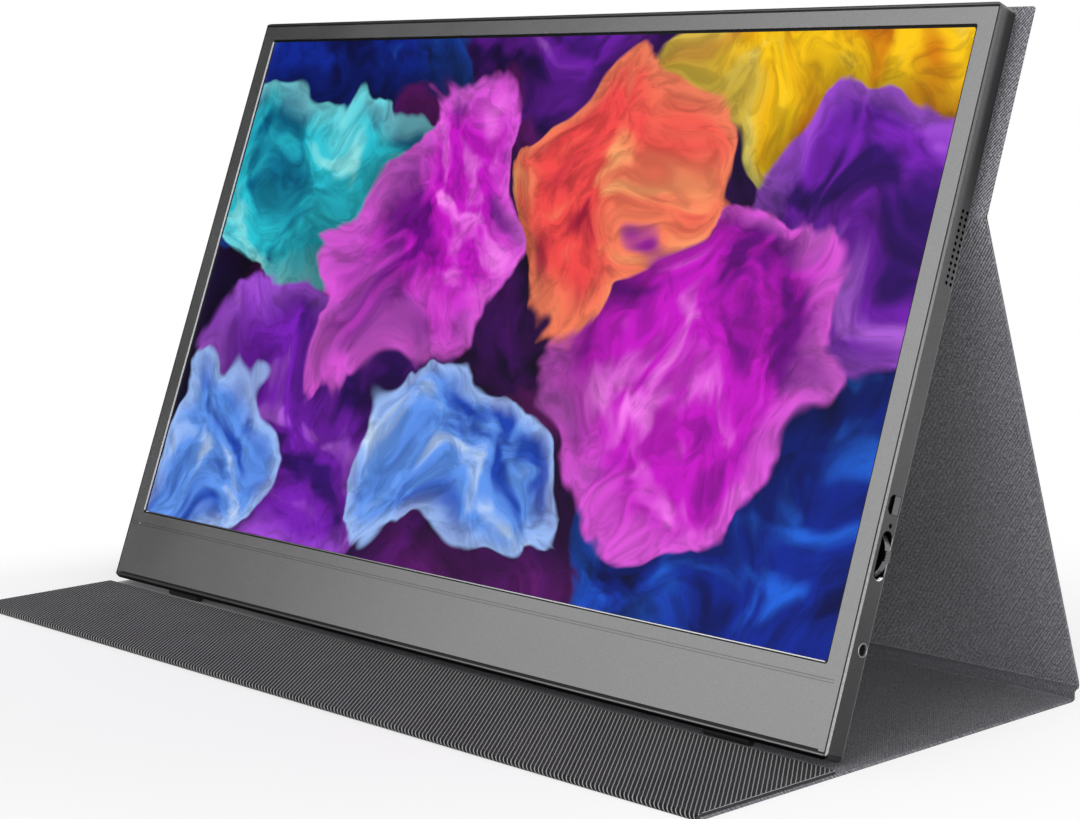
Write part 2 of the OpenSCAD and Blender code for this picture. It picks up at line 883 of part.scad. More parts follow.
// Extrudes a u-v outline to width w, centred on the jog lever's depth
module jog_layer(w) {
  translate([0, jog_n + w / 2, 0])
    rotate([90, 0, 0])
      linear_extrude(w)
        children();
}

module jog_arc() {
  bar_t = 1.1;
  nub_half = 1.5;
  groove = 0.3;
  intersection() {
    translate([jog_arc_u - jog_arc_r, 0])
      difference() {
        circle(jog_arc_r, $fn = 96);
        circle(jog_arc_r - bar_t, $fn = 96);
      }
    translate([jog_arc_u - 4, -jog_reach])
      square([5, 2 * jog_reach]);
  }
  difference() {
    translate([jog_arc_u - bar_t / 2, -nub_half])
      square([wall_u + jog_proud - jog_arc_u + bar_t / 2, 2 * nub_half]);
    for (i = [-1 : 1])
      translate([wall_u + jog_proud - groove, i * 0.9 - groove / 2])
        square([1, groove]);
  }
}

module jog_web() {
  translate([jog_pin_u, 0])
    circle(jog_hub_r);
  translate([jog_pin_u, -1.1])
    square([jog_arc_u - 0.5 - jog_pin_u, 2.2]);
}

// ---- Sound ----

module speaker(side) {
  front = inner_u - mesh_t - 0.05;
  color([0.11, 0.11, 0.12])
    on_monitor()
      translate([side * (front - speaker_w / 2), 0, speaker_v])
        difference() {
          block(-speaker_w / 2, control_n, 0, [speaker_w, control_max_n - control_n, speaker_h]);
          translate([side * (speaker_w / 2 - 0.5), control_n + 0.6, 1])
            block(-0.6, 0, 0, [1.2, control_max_n - control_n - 1.2, speaker_h - 2]);
        }
}

module speaker_left() {
  speaker(-1);
}

module speaker_right() {
  speaker(1);
}

// Thin mesh behind the speaker holes
module speaker_mesh(side) {
  color([0.05, 0.05, 0.05])
    on_monitor()
      block(side * (inner_u - mesh_t / 2) - mesh_t / 2 + side * -0.02, control_n, speaker_v,
        [mesh_t - 0.02, control_max_n - control_n, speaker_h]);
}

module speaker_mesh_left() {
  speaker_mesh(-1);
}

module speaker_mesh_right() {
  speaker_mesh(1);
}

// Flat twin speaker leads lying on the back of the panel
module speaker_leads() {
  w = 1.6;
  board_top = main_pcb_v + main_pcb_h;
  main_edge = main_pcb_u + main_pcb_w;
  start_u = inner_u - mesh_t - speaker_w - w / 4 - 0.2;
  color([0.60, 0.10, 0.10])
    on_monitor()
      plate(panel_back, 0.8) {
        lead([[start_u, speaker_v + 6], [start_u - 10, speaker_v + 6], [main_edge, board_top + 8],
          [main_edge - 12, board_top + 8], [main_edge - 12, board_top - 4]], w);
        lead([[-start_u, speaker_v + 6], [-start_u + 10, speaker_v + 6], [main_pcb_u + 44, board_top + 8],
          [main_pcb_u + 44, board_top - 4]], w);
      }
}

// A flat lead of width w through u-v points
module lead(points, w) {
  for (i = [0 : len(points) - 2]) {
    step = points[i + 1] - points[i];
    translate(points[i])
      rotate(atan2(step[1], step[0]))
        translate([-w / 4, -w / 2])
          square([norm(step) + w / 2, w]);
  }
}

// Steel plates inside the back, for the cover's magnets to hold
module steel_plates() {
  t = 0.5;
  color([0.60, 0.61, 0.62])
    on_monitor()
      magnet_spots()
        block(-magnet_w / 2 - 4, bulge_top - back_t - t - 0.02, fold_v + magnet_edge,
          [magnet_w + 8, t, magnet_h + 6]);
}

// Places of the magnets across the cover
module magnet_spots() {
  for (i = [-1, -0.35, 0.35, 1])
    translate([i * (bulge_w / 2 - magnet_w / 2 - 12), 0, 0])
      children();
}

// ---- Cover panels ----

// Places panel geometry that runs from a fold in direction a
module from_fold(fold, a) {
  translate([0, fold[0], fold[1]])
    rotate([a, 0, 0])
      translate([0, fold_half, -cover_t / 2])
        children();
}

// Outline of a cover panel, d deep, smaller by inset all round
module panel_outline(d, inset) {
  r = max(cover_corner - inset, 0.1);
  rounded(cover_w - 2 * inset, d - 2 * inset, r, inset);
}

// Outer skin with its turned edge, which frames the board and the lining
module skin(d, hem) {
  difference() {
    linear_extrude(cover_t)
      panel_outline(d, 0);
    translate([0, 0, skin_t])
      linear_extrude(cover_t)
        panel_outline(d, hem);
  }
}

module board(d, hem) {
  translate([0, 0, skin_t])
    linear_extrude(board_t)
      panel_outline(d, hem + lining_gap);
}

module lining(d, hem) {
  translate([0, 0, skin_t + board_t])
    linear_extrude(lining_t)
      panel_outline(d, hem + lining_gap);
}

// A magnet set into a board, larger by grow, starting y along the panel
module magnet(y, grow) {
  translate([-magnet_w / 2 - grow, y - grow, skin_t - (grow > 0 ? 1 : 0)])
    cube([magnet_w + 2 * grow, magnet_h + 2 * grow, board_t + (grow > 0 ? 2 : 0)]);
}

// Soft fold between the end faces of two panels that run along a1 and a2
module fold_fabric(fold, a1, a2) {
  reach = fold_half - fabric_gap;
  end1 = fold - reach * heading(a1);
  end2 = fold + reach * heading(a2);
  bar(-cover_w / 2, cover_w)
    polygon([
      end1 - cover_t / 2 * inward(a1), end1 + cover_t / 2 * inward(a1),
      end2 + cover_t / 2 * inward(a2), end2 - cover_t / 2 * inward(a2)
    ]);
}

upper_d = upper_h - fold_half;
leg_d = leg_len - 2 * fold_half;
heel_d = heel_w - 2 * fold_half;
base_d = heel_fold[0] - front_fold_y - front_fold_half - fold_half;
flap_d = flap_w - front_fold_half;
skin_color = [0.28, 0.28, 0.30];
lining_color = [0.38, 0.37, 0.41];
board_color = [0.55, 0.50, 0.42];

module upper_skin() {
  color(skin_color)
    from_fold(back_fold, upper_dir)
      skin(upper_d, hem_w);
}

module upper_board() {
  color(board_color)
    from_fold(back_fold, upper_dir)
      difference() {
        board(upper_d, hem_w);
        magnet_spots()
          magnet(magnet_edge, 0.05);
      }
}

module upper_lining() {
  color(lining_color)
    from_fold(back_fold, upper_dir)
      lining(upper_d, hem_w);
}

module upper_magnets() {
  color([0.62, 0.62, 0.64])
    from_fold(back_fold, upper_dir)
      magnet_spots()
        magnet(magnet_edge, 0);
}

module back_fold_fabric() {
  color(skin_color)
    fold_fabric(back_fold, leg_dir, upper_dir);
}

module leg_skin() {
  color(skin_color)
    from_fold(leg_fold, leg_dir)
      skin(leg_d, hem_w);
}

module leg_board() {
  color(board_color)
    from_fold(leg_fold, leg_dir)
      board(leg_d, hem_w);
}

module leg_lining() {
  color(lining_color)
    from_fold(leg_fold, leg_dir)
      lining(leg_d, hem_w);
}

module leg_fold_fabric() {
  color(skin_color)
    fold_fabric(leg_fold, heel_slope, leg_dir);
}

module heel_skin() {
  color(skin_color)
    from_fold(heel_fold, heel_slope)
      skin(heel_d, heel_hem);
}

module heel_board() {
  color(board_color)
    from_fold(heel_fold, heel_slope)
      board(heel_d, heel_hem);
}

module heel_lining() {
  color(lining_color)
    from_fold(heel_fold, heel_slope)
      lining(heel_d, heel_hem);
}

module heel_fold_fabric() {
  color(skin_color)
    fold_fabric(heel_fold, 0, heel_slope);
}

module on_base() {
  translate([0, front_fold_y + front_fold_half, 0])
    children();
}

module base_skin() {
  color(skin_color)
    on_base()
      skin(base_d, hem_w);
}

module base_board() {
  color(board_color)
    on_base()
      board(base_d, hem_w);
}

module base_lining() {
  color(lining_color)
    on_base()
      lining(base_d, hem_w);
}

// Soft roll of cover fabric around the folded front edge
module front_fold_fabric() {
  fabric_t = skin_t + lining_t;
  color(skin_color)
    translate([0, front_fold_y, front_fold_z])
      bar(-cover_w / 2, cover_w)
        difference() {
          union() {
            circle(front_fold_z);
            translate([0, -front_fold_z])
              square([front_fold_half - fabric_gap, 2 * front_fold_z]);
          }
          circle(front_fold_z - fabric_t);
          translate([0, -front_fold_z + fabric_t])
            square([front_fold_half + 1, 2 * (front_fold_z - fabric_t)]);
        }
}

// The flap lies outer side up on the base
module on_flap() {
  translate([0, front_fold_y, front_fold_z])
    rotate([180, 0, 0])
      translate([0, -flap_w, -front_fold_z])
        children();
}

module flap_skin() {
  color(skin_color)
    on_flap()
      skin(flap_d, hem_w);
}

module flap_board() {
  color(board_color)
    on_flap()
      difference() {
        board(flap_d, hem_w);
        magnet_spots()
          magnet(hem_w + 3, 0.05);
      }
}

module flap_lining() {
  color(lining_color)
    on_flap()
      lining(flap_d, hem_w);
}

module flap_magnets() {
  color([0.62, 0.62, 0.64])
    on_flap()
      magnet_spots()
        magnet(hem_w + 3, 0);
}

front_bezel();
rear_shell();
inner_frame();
lcd_glass();
light_guide();
led_bar();
panel_tray();
panel_driver_board();
display_cable();
main_board();
board_components();
usb_c_sockets();
mini_hdmi_socket();
headphone_jack();
control_board();
control_flex();
power_switch();
power_button();
status_led();
led_light_pipe();
jog_switch();
jog_carrier();
jog_lever();
speaker_left();
speaker_right();
speaker_mesh_left();
speaker_mesh_right();
speaker_leads();
steel_plates();
case_screws();
rubber_feet();
upper_skin();
upper_board();
upper_lining();
upper_magnets();
back_fold_fabric();
leg_skin();
leg_board();
leg_lining();
leg_fold_fabric();
heel_skin();
heel_board();
heel_lining();
heel_fold_fabric();
base_skin();
base_board();
base_lining();
front_fold_fabric();
flap_skin();
flap_board();
flap_lining();
flap_magnets();
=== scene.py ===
"""Looks of the portable monitor with cover. Metres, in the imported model's frame."""

import json
import math

import bmesh
import bpy
from mathutils import Matrix, Vector


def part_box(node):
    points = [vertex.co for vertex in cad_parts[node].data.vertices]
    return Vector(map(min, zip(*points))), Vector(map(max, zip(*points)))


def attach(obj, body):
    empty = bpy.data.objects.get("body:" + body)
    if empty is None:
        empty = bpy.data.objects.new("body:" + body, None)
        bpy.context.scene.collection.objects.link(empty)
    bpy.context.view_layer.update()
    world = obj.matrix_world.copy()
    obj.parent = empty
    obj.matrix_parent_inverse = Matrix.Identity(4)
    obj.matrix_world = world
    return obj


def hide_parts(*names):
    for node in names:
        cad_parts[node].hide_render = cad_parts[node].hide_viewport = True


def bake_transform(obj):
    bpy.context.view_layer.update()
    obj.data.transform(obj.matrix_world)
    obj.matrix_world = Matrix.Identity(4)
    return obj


MM = 0.001

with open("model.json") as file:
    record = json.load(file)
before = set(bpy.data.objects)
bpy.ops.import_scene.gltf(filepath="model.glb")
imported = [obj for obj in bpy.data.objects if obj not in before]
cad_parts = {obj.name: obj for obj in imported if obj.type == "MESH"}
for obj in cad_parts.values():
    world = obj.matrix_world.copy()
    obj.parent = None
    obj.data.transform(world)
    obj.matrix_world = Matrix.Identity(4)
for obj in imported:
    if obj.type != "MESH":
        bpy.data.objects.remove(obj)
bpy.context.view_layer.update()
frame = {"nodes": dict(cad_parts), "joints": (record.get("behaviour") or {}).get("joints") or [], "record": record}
joints = {joint["name"]: joint for joint in frame["joints"]}


# ---- Places taken from the frame ----

def fold_at(name):
    """A fold line's place as (y, z)."""
    return Vector(joints[name]["pos_m"][1:])


FRONT_FOLD = fold_at("flap_fold")
HEEL_FOLD = fold_at("heel_fold")
LEG_FOLD = fold_at("leg_fold")
BACK_FOLD = fold_at("back_fold")

COVER_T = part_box("base_skin")[1].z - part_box("base_skin")[0].z
COVER_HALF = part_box("base_skin")[1].x
FLAP_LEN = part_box("flap_skin")[1].y - FRONT_FOLD.x

SCREEN_U = Vector((1, 0, 0))
SCREEN_N = -Vector(joints["monitor_lift_off"]["axis"])
SCREEN_V = Vector((0, -SCREEN_N.z, SCREEN_N.y))

shell_points = [v.co for v in frame["nodes"]["rear_shell"].data.vertices]
FACE_N = min(p.dot(SCREEN_N) for p in shell_points)
EDGE_V = min(p.dot(SCREEN_V) for p in shell_points)
SIDE_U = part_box("rear_shell")[1].x

upper_points = [v.co for v in frame["nodes"]["upper_skin"].data.vertices]
UPPER_DIR = Vector((SCREEN_V.y, SCREEN_V.z))
UPPER_LEN = max(Vector(p.yz).dot(UPPER_DIR) for p in upper_points) - BACK_FOLD.dot(UPPER_DIR)


def on_screen(u, v, n):
    """A point of the monitor: u across, v up from its bottom edge, n behind its front."""
    return SCREEN_U * u + SCREEN_V * (v + EDGE_V) + SCREEN_N * (n + FACE_N)


# ---- Material helpers ----

class Shader:
    """A Principled material with short calls for the nodes that feed it."""

    def __init__(self, name, **values):
        self.material = bpy.data.materials.new(name)
        self.material.use_nodes = True
        self.tree = self.material.node_tree
        self.principled = self.tree.nodes["Principled BSDF"]
        for socket, value in values.items():
            self.set(socket.replace("_", " "), value)

    def feed(self, socket, value):
        """Links another node's output to a socket, or gives it a plain value."""
        if isinstance(value, bpy.types.NodeSocket):
            self.tree.links.new(value, socket)
        else:
            socket.default_value = value

    def set(self, name, value):
        """Feeds one of the Principled shader's own sockets."""
        self.feed(self.principled.inputs[name], value)

    def node(self, kind, inputs=None, **settings):
        """A new node with its sockets fed and its settings made."""
        node = self.tree.nodes.new(kind)
        for key, value in settings.items():
            setattr(node, key, value)
        for socket, value in (inputs or {}).items():
            self.feed(node.inputs[socket], value)
        return node

    def place(self, uv_map=None):
        """Coordinates in millimetres, from a named map or from the frame."""
        if uv_map:
            source = self.node("ShaderNodeUVMap", uv_map=uv_map).outputs[0]
        else:
            source = self.node("ShaderNodeTexCoord").outputs["Object"]
        return self.vector("SCALE", source, scale=1 / MM)

    def vector(self, operation, a, b=None, scale=None):
        """A vector sum, or the plain number it gives."""
        node = self.node("ShaderNodeVectorMath", operation=operation)
        self.feed(node.inputs[0], a)
        if b is not None:
            self.feed(node.inputs[1], b)
        if scale is not None:
            self.feed(node.inputs["Scale"], scale)
        return node.outputs["Value" if operation in ("DOT_PRODUCT", "DISTANCE") else "Vector"]

    def math(self, operation, a, b=0.0, c=0.0):
        """A sum of plain numbers; MULTIPLY_ADD gives a * b + c."""
        node = self.node("ShaderNodeMath", operation=operation)
        for socket, value in zip(node.inputs, (a, b, c)):
            self.feed(socket, value)
        return node.outputs[0]

    def noise(self, place, scale, detail=2.0, roughness=0.5, distortion=0.0, color=False):
        """Cloudy noise around 0.5; scale is its features per unit of place."""
        node = self.node("ShaderNodeTexNoise", {
            "Vector": place, "Scale": scale, "Detail": detail,
            "Roughness": roughness, "Distortion": distortion,
        })
        return node.outputs["Color" if color else "Fac"]

    def between(self, value, low, high, out_low=0.0, out_high=1.0):
        """Takes low..high to out_low..out_high with soft ends, and holds the ends outside."""
        node = self.node("ShaderNodeMapRange", interpolation_type="SMOOTHSTEP")
        for socket, number in zip(node.inputs, (value, low, high, out_low, out_high)):
            self.feed(socket, number)
        return node.outputs[0]

    def rise(self, value, low, high):
        """A mask that goes softly from 0 at low to 1 at high."""
        return self.between(value, low, high)

    def fall(self, value, low, high):
        """A mask that goes softly from 1 at low to 0 at high."""
        return self.between(value, low, high, 1.0, 0.0)

    def every(self, *masks):
        """Where all the masks hold: their product."""
        total = masks[0]
        for mask in masks[1:]:
            total = self.math("MULTIPLY", total, mask)
        return total

    def ribs(self, value, pitch, core, edge):
        """1 on thin lines every pitch, 0 between them; core and edge are shares of the pitch."""
        phase = self.math("FRACT", self.math("MULTIPLY", value, 1 / pitch))
        away = self.math("ABSOLUTE", self.math("SUBTRACT", phase, 0.5))
        return self.fall(away, core, edge)

    def mix(self, factor, a, b, blend="MIX"):
        """Colour a where the factor is 0, and b where it is 1."""
        node = self.node("ShaderNodeMix", data_type="RGBA", blend_type=blend)
        self.feed(node.inputs[0], factor)
        self.feed(node.inputs[6], a)
        self.feed(node.inputs[7], b)
        return node.outputs[2]

    def darken(self, color, shade):
        """Multiplies a colour by a plain number, 1 leaving it as it is."""
        grey = self.node("ShaderNodeCombineColor", {"Red": shade, "Green": shade, "Blue": shade})
        return self.mix(1.0, color, grey.outputs[0], "MULTIPLY")

    def bump(self, height, distance, strength):
        """Roughens the surface by a height of 0 to 1; distance is in metres."""
        node = self.node("ShaderNodeBump", {
            "Height": height, "Distance": distance, "Strength": strength,
        })
        self.set("Normal", node.outputs[0])


def srgb(red, green, blue):
    """A colour from its 0..255 display values."""
    def linear(c):
        c /= 255
        return c / 12.92 if c <= 0.04045 else ((c + 0.055) / 1.055) ** 2.4
    return (linear(red), linear(green), linear(blue), 1.0)


def either_side(color, spread):
    """A darker and a lighter colour around one."""
    dark = tuple(c * (1 - spread) for c in color[:3]) + (1.0,)
    light = tuple(min(c * (1 + spread), 1) for c in color[:3]) + (1.0,)
    return dark, light


# ---- Cloth materials; lengths inside a shader are millimetres ----

RIB_PITCH = 1.284
RIB_ANGLE = math.radians(38.2)
RIB_ACROSS = (math.cos(RIB_ANGLE), -math.sin(RIB_ANGLE), 0)
RIB_ALONG = (math.sin(RIB_ANGLE), math.cos(RIB_ANGLE), 0)
RIB_MIRRORED = (math.cos(RIB_ANGLE), math.sin(RIB_ANGLE), 0)
RIB_CORE = 0.03
THREAD_PITCH = 0.52
THREAD_SHARE = 0.05
CLOUD_SHARE = 0.2
GROUND_AT, RIDGE_AT = -0.1, 1.05
WEAVE_DEPTH = 0.1 * MM

# A lining's fine ribs, and where along the cover and out to its side edge they turn bold.
FINE_RIB = (0.08, 0.38)
FINE_MEAN = 0.45
BOLD_RIB = (0.05, 0.3)
BOLD_MEAN = 0.49
BOLD_TRAVEL = (295.0, 340.0)
BOLD_BESIDE = (135.0, 180.0)
BOLD_BESIDE_MOST = 0.25
LINING_LIFT = 0.28

# Painted light on the base lining below the monitor, and painted shade deep inside the stand.
PAINTED_LIGHT_COLOR = srgb(226, 225, 228)
PAINTED_LIGHT_SHARE = 0.4
PAINTED_LIGHT_ACROSS = (-130.0, -30.0)
PAINTED_LIGHT_BACK = (-1.0, 10.0)
PAINTED_LIGHT_UP = (0.8, 1.4)
DEEP_FROM, DEEP_TO = 150.0, 3000.0
DEEP_SHADE = 0.75


def lining_weave(s, cloth, place, across, strength):
    """What a lining adds to the twill: fine ribs both ways, bold near the upper panel and the edge."""
    mirrored = s.vector("DOT_PRODUCT", place, RIB_MIRRORED)
    fine = s.math("SUBTRACT", s.ribs(across, RIB_PITCH / 2, *FINE_RIB), FINE_MEAN)
    net = s.math("SUBTRACT", s.ribs(mirrored, RIB_PITCH / 2, *FINE_RIB), FINE_MEAN)
    bold = s.math("MULTIPLY_ADD", s.ribs(mirrored, RIB_PITCH * 0.8, *BOLD_RIB), 0.4,
                  s.ribs(across, RIB_PITCH * 0.65, *BOLD_RIB))
    grit = s.math("SUBTRACT", s.noise(place, 1.0, 2.0, 0.6), 0.5)
    bold = s.math("MULTIPLY_ADD", grit, 2.4, s.math("SUBTRACT", bold, BOLD_MEAN))
    travel = s.rise(s.vector("DOT_PRODUCT", cloth, (0, 1, 0)), *BOLD_TRAVEL)
    beside = s.between(s.vector("DOT_PRODUCT", cloth, (1, 0, 0)), *BOLD_BESIDE, 0.0, BOLD_BESIDE_MOST)
    total = s.math("MULTIPLY_ADD", bold, s.math("MAXIMUM", travel, beside), LINING_LIFT)
    return s.math("MULTIPLY_ADD", s.math("ADD", fine, net), strength, total)


def lining_shade(s, color):
    """A lining's colour with painted light on the base below the monitor and painted shade inside the stand."""
    place = s.place()
    x, y, z = (s.vector("DOT_PRODUCT", place, axis) for axis in ((1, 0, 0), (0, 1, 0), (0, 0, 1)))
    # Painted light: a pale patch on the base lining under the left part of the monitor.
    painted_light = s.fall(x, *PAINTED_LIGHT_ACROSS)
    for value, (low, high) in ((y, PAINTED_LIGHT_BACK), (z, PAINTED_LIGHT_UP)):
        painted_light = s.every(painted_light, s.rise(value, low - 0.2, low), s.fall(value, high, high + 0.5))
    color = s.mix(s.math("MULTIPLY", painted_light, PAINTED_LIGHT_SHARE), color, PAINTED_LIGHT_COLOR)
    # Painted shade, stronger further in from the right side and higher up.
    deep = s.math("MULTIPLY", s.math("SUBTRACT", COVER_HALF / MM, x), z)
    return s.darken(color, s.between(deep, DEEP_FROM, DEEP_TO, 1.0, DEEP_SHADE))


def woven(name, ground, ridge, rib, edge, fuzz=0.25, relief=0.6, lining=0.0):
    """Twill from a ground to a ridge colour.

    rib, fuzz and lining say how strong its ribs, its nap and a lining's fine ribs are, and edge
    is half a rib's width at its foot.
    """
    s = Shader(name, Roughness=0.85, Sheen_Weight=0.04, Sheen_Roughness=0.5, Specular_IOR_Level=0.1)
    cloth = s.place("cloth")
    wobble = s.vector("SCALE", s.noise(cloth, 0.35, 2.0, color=True), scale=0.3)
    place = s.vector("ADD", cloth, wobble)
    across = s.vector("DOT_PRODUCT", place, RIB_ACROSS)
    along = s.vector("DOT_PRODUCT", place, RIB_ALONG)
    thread = s.math("SINE", s.math("MULTIPLY", along, 2 * math.pi / THREAD_PITCH))
    weave = s.math("MULTIPLY", s.ribs(across, RIB_PITCH, RIB_CORE, edge), rib)
    nap = s.math("SUBTRACT", s.noise(place, 1.5, 3.0, 0.7), 0.5)
    cloud = s.math("SUBTRACT", s.noise(place, 0.03, 3.0, 0.6), 0.5)
    total = s.math("MULTIPLY_ADD", thread, THREAD_SHARE, weave)
    total = s.math("MULTIPLY_ADD", nap, fuzz, total)
    total = s.math("MULTIPLY_ADD", cloud, CLOUD_SHARE, total)
    if lining:
        total = s.math("ADD", total, lining_weave(s, cloth, place, across, lining))
    color = s.mix(s.rise(total, GROUND_AT, RIDGE_AT), ground, ridge)
    if lining:
        color = lining_shade(s, color)
    s.set("Base Color", color)
    s.bump(s.math("MULTIPLY_ADD", thread, 3 * THREAD_SHARE, total), WEAVE_DEPTH, relief)
    return s.material


# ---- Other materials ----

def metal(name, color, metallic, roughness, grain):
    """Anodised sheet: a fine grain in its colour, its gloss and its surface."""
    s = Shader(name, Metallic=metallic, Specular_IOR_Level=0.4)
    place = s.place()
    speckle = s.rise(s.noise(place, 1.7, 2.0, 0.7), 0.3, 0.7)
    smudge = s.noise(place, 0.02, 3.0, 0.5)
    s.color = s.mix(speckle, *either_side(color, grain))
    s.set("Base Color", s.color)
    gloss = s.math("MULTIPLY", s.math("SUBTRACT", smudge, 0.5), 0.12)
    gloss = s.math("ADD", gloss, s.math("MULTIPLY", speckle, 0.08))
    s.set("Roughness", s.math("ADD", gloss, roughness - 0.04))
    s.bump(speckle, 0.01 * MM, 0.4)
    return s


def moulded(name, color, roughness, spread=0.15, scale=1.5, specular=0.4):
    """Plastic or rubber: faint clouds in its colour and a fine orange-peel surface."""
    s = Shader(name, Specular_IOR_Level=specular)
    place = s.place()
    cloud = s.noise(place, scale, 3.0, 0.6)
    s.set("Base Color", s.mix(cloud, *either_side(color, spread)))
    gloss = s.math("ADD", s.math("MULTIPLY", cloud, 0.1), roughness - 0.05)
    s.set("Roughness", gloss)
    s.bump(s.noise(place, 6.0, 2.0), 0.01 * MM, 0.3)
    return s.material


# The body's sizes, and the painted shade and painted highlights on its shell: depth is counted
# behind the front and height above the bottom edge.
BODY_H = 229.0
BODY_T = 7.75
BEVEL = 0.55
BOTTOM_BEVEL = 1.2
JOG_SLOT_END = 53.4
# Painted shade on the side wall: beside the upper panel, and darker towards the bottom.
SHADE = srgb(34, 33, 36)
SHADE_DEPTH = (1.4, 4.4)
SHADE_HEIGHT = (135.0, 190.0)
SHADE_SHARE = 0.8
LOW_SHADE_HEIGHT = (12.0, 110.0)
LOW_SHADE_SHARE = 0.6
# Painted shade on the side bevels, and a near-black painted shade on the bottom bevel.
BEVEL_SHADE_COLOR = srgb(76, 76, 77)
LOW_BEVEL_SHADE_COLOR = srgb(14, 14, 14)
# The bottom lip's painted highlight, brighter towards the right.
LIP_HIGHLIGHT_ACROSS = (-130.0, 80.0)
LIP_HIGHLIGHT_DIM = srgb(104, 104, 105)
LIP_HIGHLIGHT_BRIGHT = srgb(165, 165, 166)
# A painted highlight along the side wall's rear edge.
REAR_EDGE_HIGHLIGHT_COLOR = srgb(160, 160, 161)
REAR_EDGE_HIGHLIGHT_SHARE = 0.5
# Painted shade inside the side wall's openings.
OPENING_SHADE_COLOR = srgb(10, 10, 10)
# A painted glint at the jog slot's lower end.
PAINTED_GLINT_COLOR = srgb(250, 250, 250)

# The chin's seam: two scored lines, a little apart, which end short of the right side.
SEAM_LINES = (21.7, 22.6)
SEAM_END = 177.0
SEAM_COLOR = srgb(50, 50, 50)
SEAM_SHARE = 0.35


def body_place(s):
    """Depth behind the front, height above the bottom edge and distance from the middle."""
    place = s.place()
    depth = s.math("SUBTRACT", s.vector("DOT_PRODUCT", place, tuple(SCREEN_N)), FACE_N / MM)
    height = s.math("SUBTRACT", s.vector("DOT_PRODUCT", place, tuple(SCREEN_V)), EDGE_V / MM)
    across = s.vector("DOT_PRODUCT", place, (1, 0, 0))
    return depth, height, across


def shell_metal(name, color, metallic, roughness, grain):
    """The body's metal, with painted shade on its side wall, bevels and openings and painted highlights on its
    edges.
    """
    s = metal(name, color, metallic, roughness, grain)
    depth, height, across = body_place(s)
    side = SIDE_U / MM
    sideways = s.math("ABSOLUTE", across)

    # Painted shade on the side wall, beside the upper panel and towards the bottom.
    wall = s.rise(sideways, side - 0.3, side - 0.2)
    behind = s.every(wall, s.rise(depth, *SHADE_DEPTH), s.rise(height, *SHADE_HEIGHT))
    color = s.mix(s.math("MULTIPLY", behind, SHADE_SHARE), s.color, SHADE)
    low_shade = s.every(wall, s.fall(height, *LOW_SHADE_HEIGHT))
    color = s.mix(s.math("MULTIPLY", low_shade, LOW_SHADE_SHARE), color, SHADE)

    # Painted shade: the side bevels darker, the bottom bevel near black.
    bevel = s.every(s.rise(sideways, side - BEVEL - 0.1, side - BEVEL),
                    s.fall(depth, BEVEL, BEVEL + 0.1))
    color = s.mix(bevel, color, BEVEL_SHADE_COLOR)
    low_bevel_shade = s.every(s.fall(height, BOTTOM_BEVEL - 0.05, BOTTOM_BEVEL + 0.05),
                        s.rise(depth, 0.04, 0.1), s.fall(depth, 1.3, 1.5))
    color = s.mix(low_bevel_shade, color, LOW_BEVEL_SHADE_COLOR)

    # A painted highlight along the bottom lip, brighter towards the right.
    lip = s.every(s.rise(height, BOTTOM_BEVEL - 0.28, BOTTOM_BEVEL - 0.22),
                  s.fall(height, BOTTOM_BEVEL + 0.14, BOTTOM_BEVEL + 0.2),
                  s.fall(depth, 0.3, 0.35), s.fall(sideways, side - 1.4, side - 1.1))
    color = s.mix(lip, color, s.mix(s.rise(across, *LIP_HIGHLIGHT_ACROSS), LIP_HIGHLIGHT_DIM, LIP_HIGHLIGHT_BRIGHT))
    # A painted highlight along the side wall's rear edge.
    rear_edge_highlight = s.every(s.rise(sideways, side - 0.5, side - 0.4),
                        s.rise(depth, BODY_T - 0.65, BODY_T - 0.45))
    color = s.mix(s.math("MULTIPLY", rear_edge_highlight, REAR_EDGE_HIGHLIGHT_SHARE), color, REAR_EDGE_HIGHLIGHT_COLOR)

    # Painted shade: the insides of the side wall's openings near black.
    inside = s.every(s.fall(sideways, side - 0.16, side - 0.05),
                     s.rise(depth, 1.4, 1.6), s.fall(depth, BODY_T - 0.45, BODY_T - 0.3),
                     s.rise(height, 2.5, 2.7), s.fall(height, BODY_H - 3.0, BODY_H - 2.7))
    color = s.mix(inside, color, OPENING_SHADE_COLOR)
    # A painted glint at the jog slot's lower end: matte white, not metal.
    glint = s.every(s.rise(height, JOG_SLOT_END - 0.4, JOG_SLOT_END - 0.3),
                    s.fall(height, JOG_SLOT_END + 0.9, JOG_SLOT_END + 1.4),
                    s.rise(depth, 1.7, 1.8), s.fall(depth, BODY_T - 0.4, BODY_T - 0.3),
                    s.rise(sideways, side - 1.3, side - 1.2),
                    s.fall(sideways, side - 0.02, side - 0.01))
    s.set("Metallic", s.math("MULTIPLY_ADD", glint, -metallic, metallic))
    s.set("Base Color", s.mix(glint, color, PAINTED_GLINT_COLOR))
    return s.material


def control_metal(name, color, metallic, roughness, grain):
    """The controls' metal, with painted shade that turns the sides facing the front near black."""
    s = metal(name, color, metallic, roughness, grain)
    normal = s.node("ShaderNodeNewGeometry").outputs["Normal"]
    # Painted shade: sides that face the front are near black.
    behind = s.rise(s.vector("DOT_PRODUCT", normal, tuple(SCREEN_N)), -0.85, -0.35)
    s.set("Base Color", s.mix(behind, srgb(12, 12, 12), s.color))
    return s.material


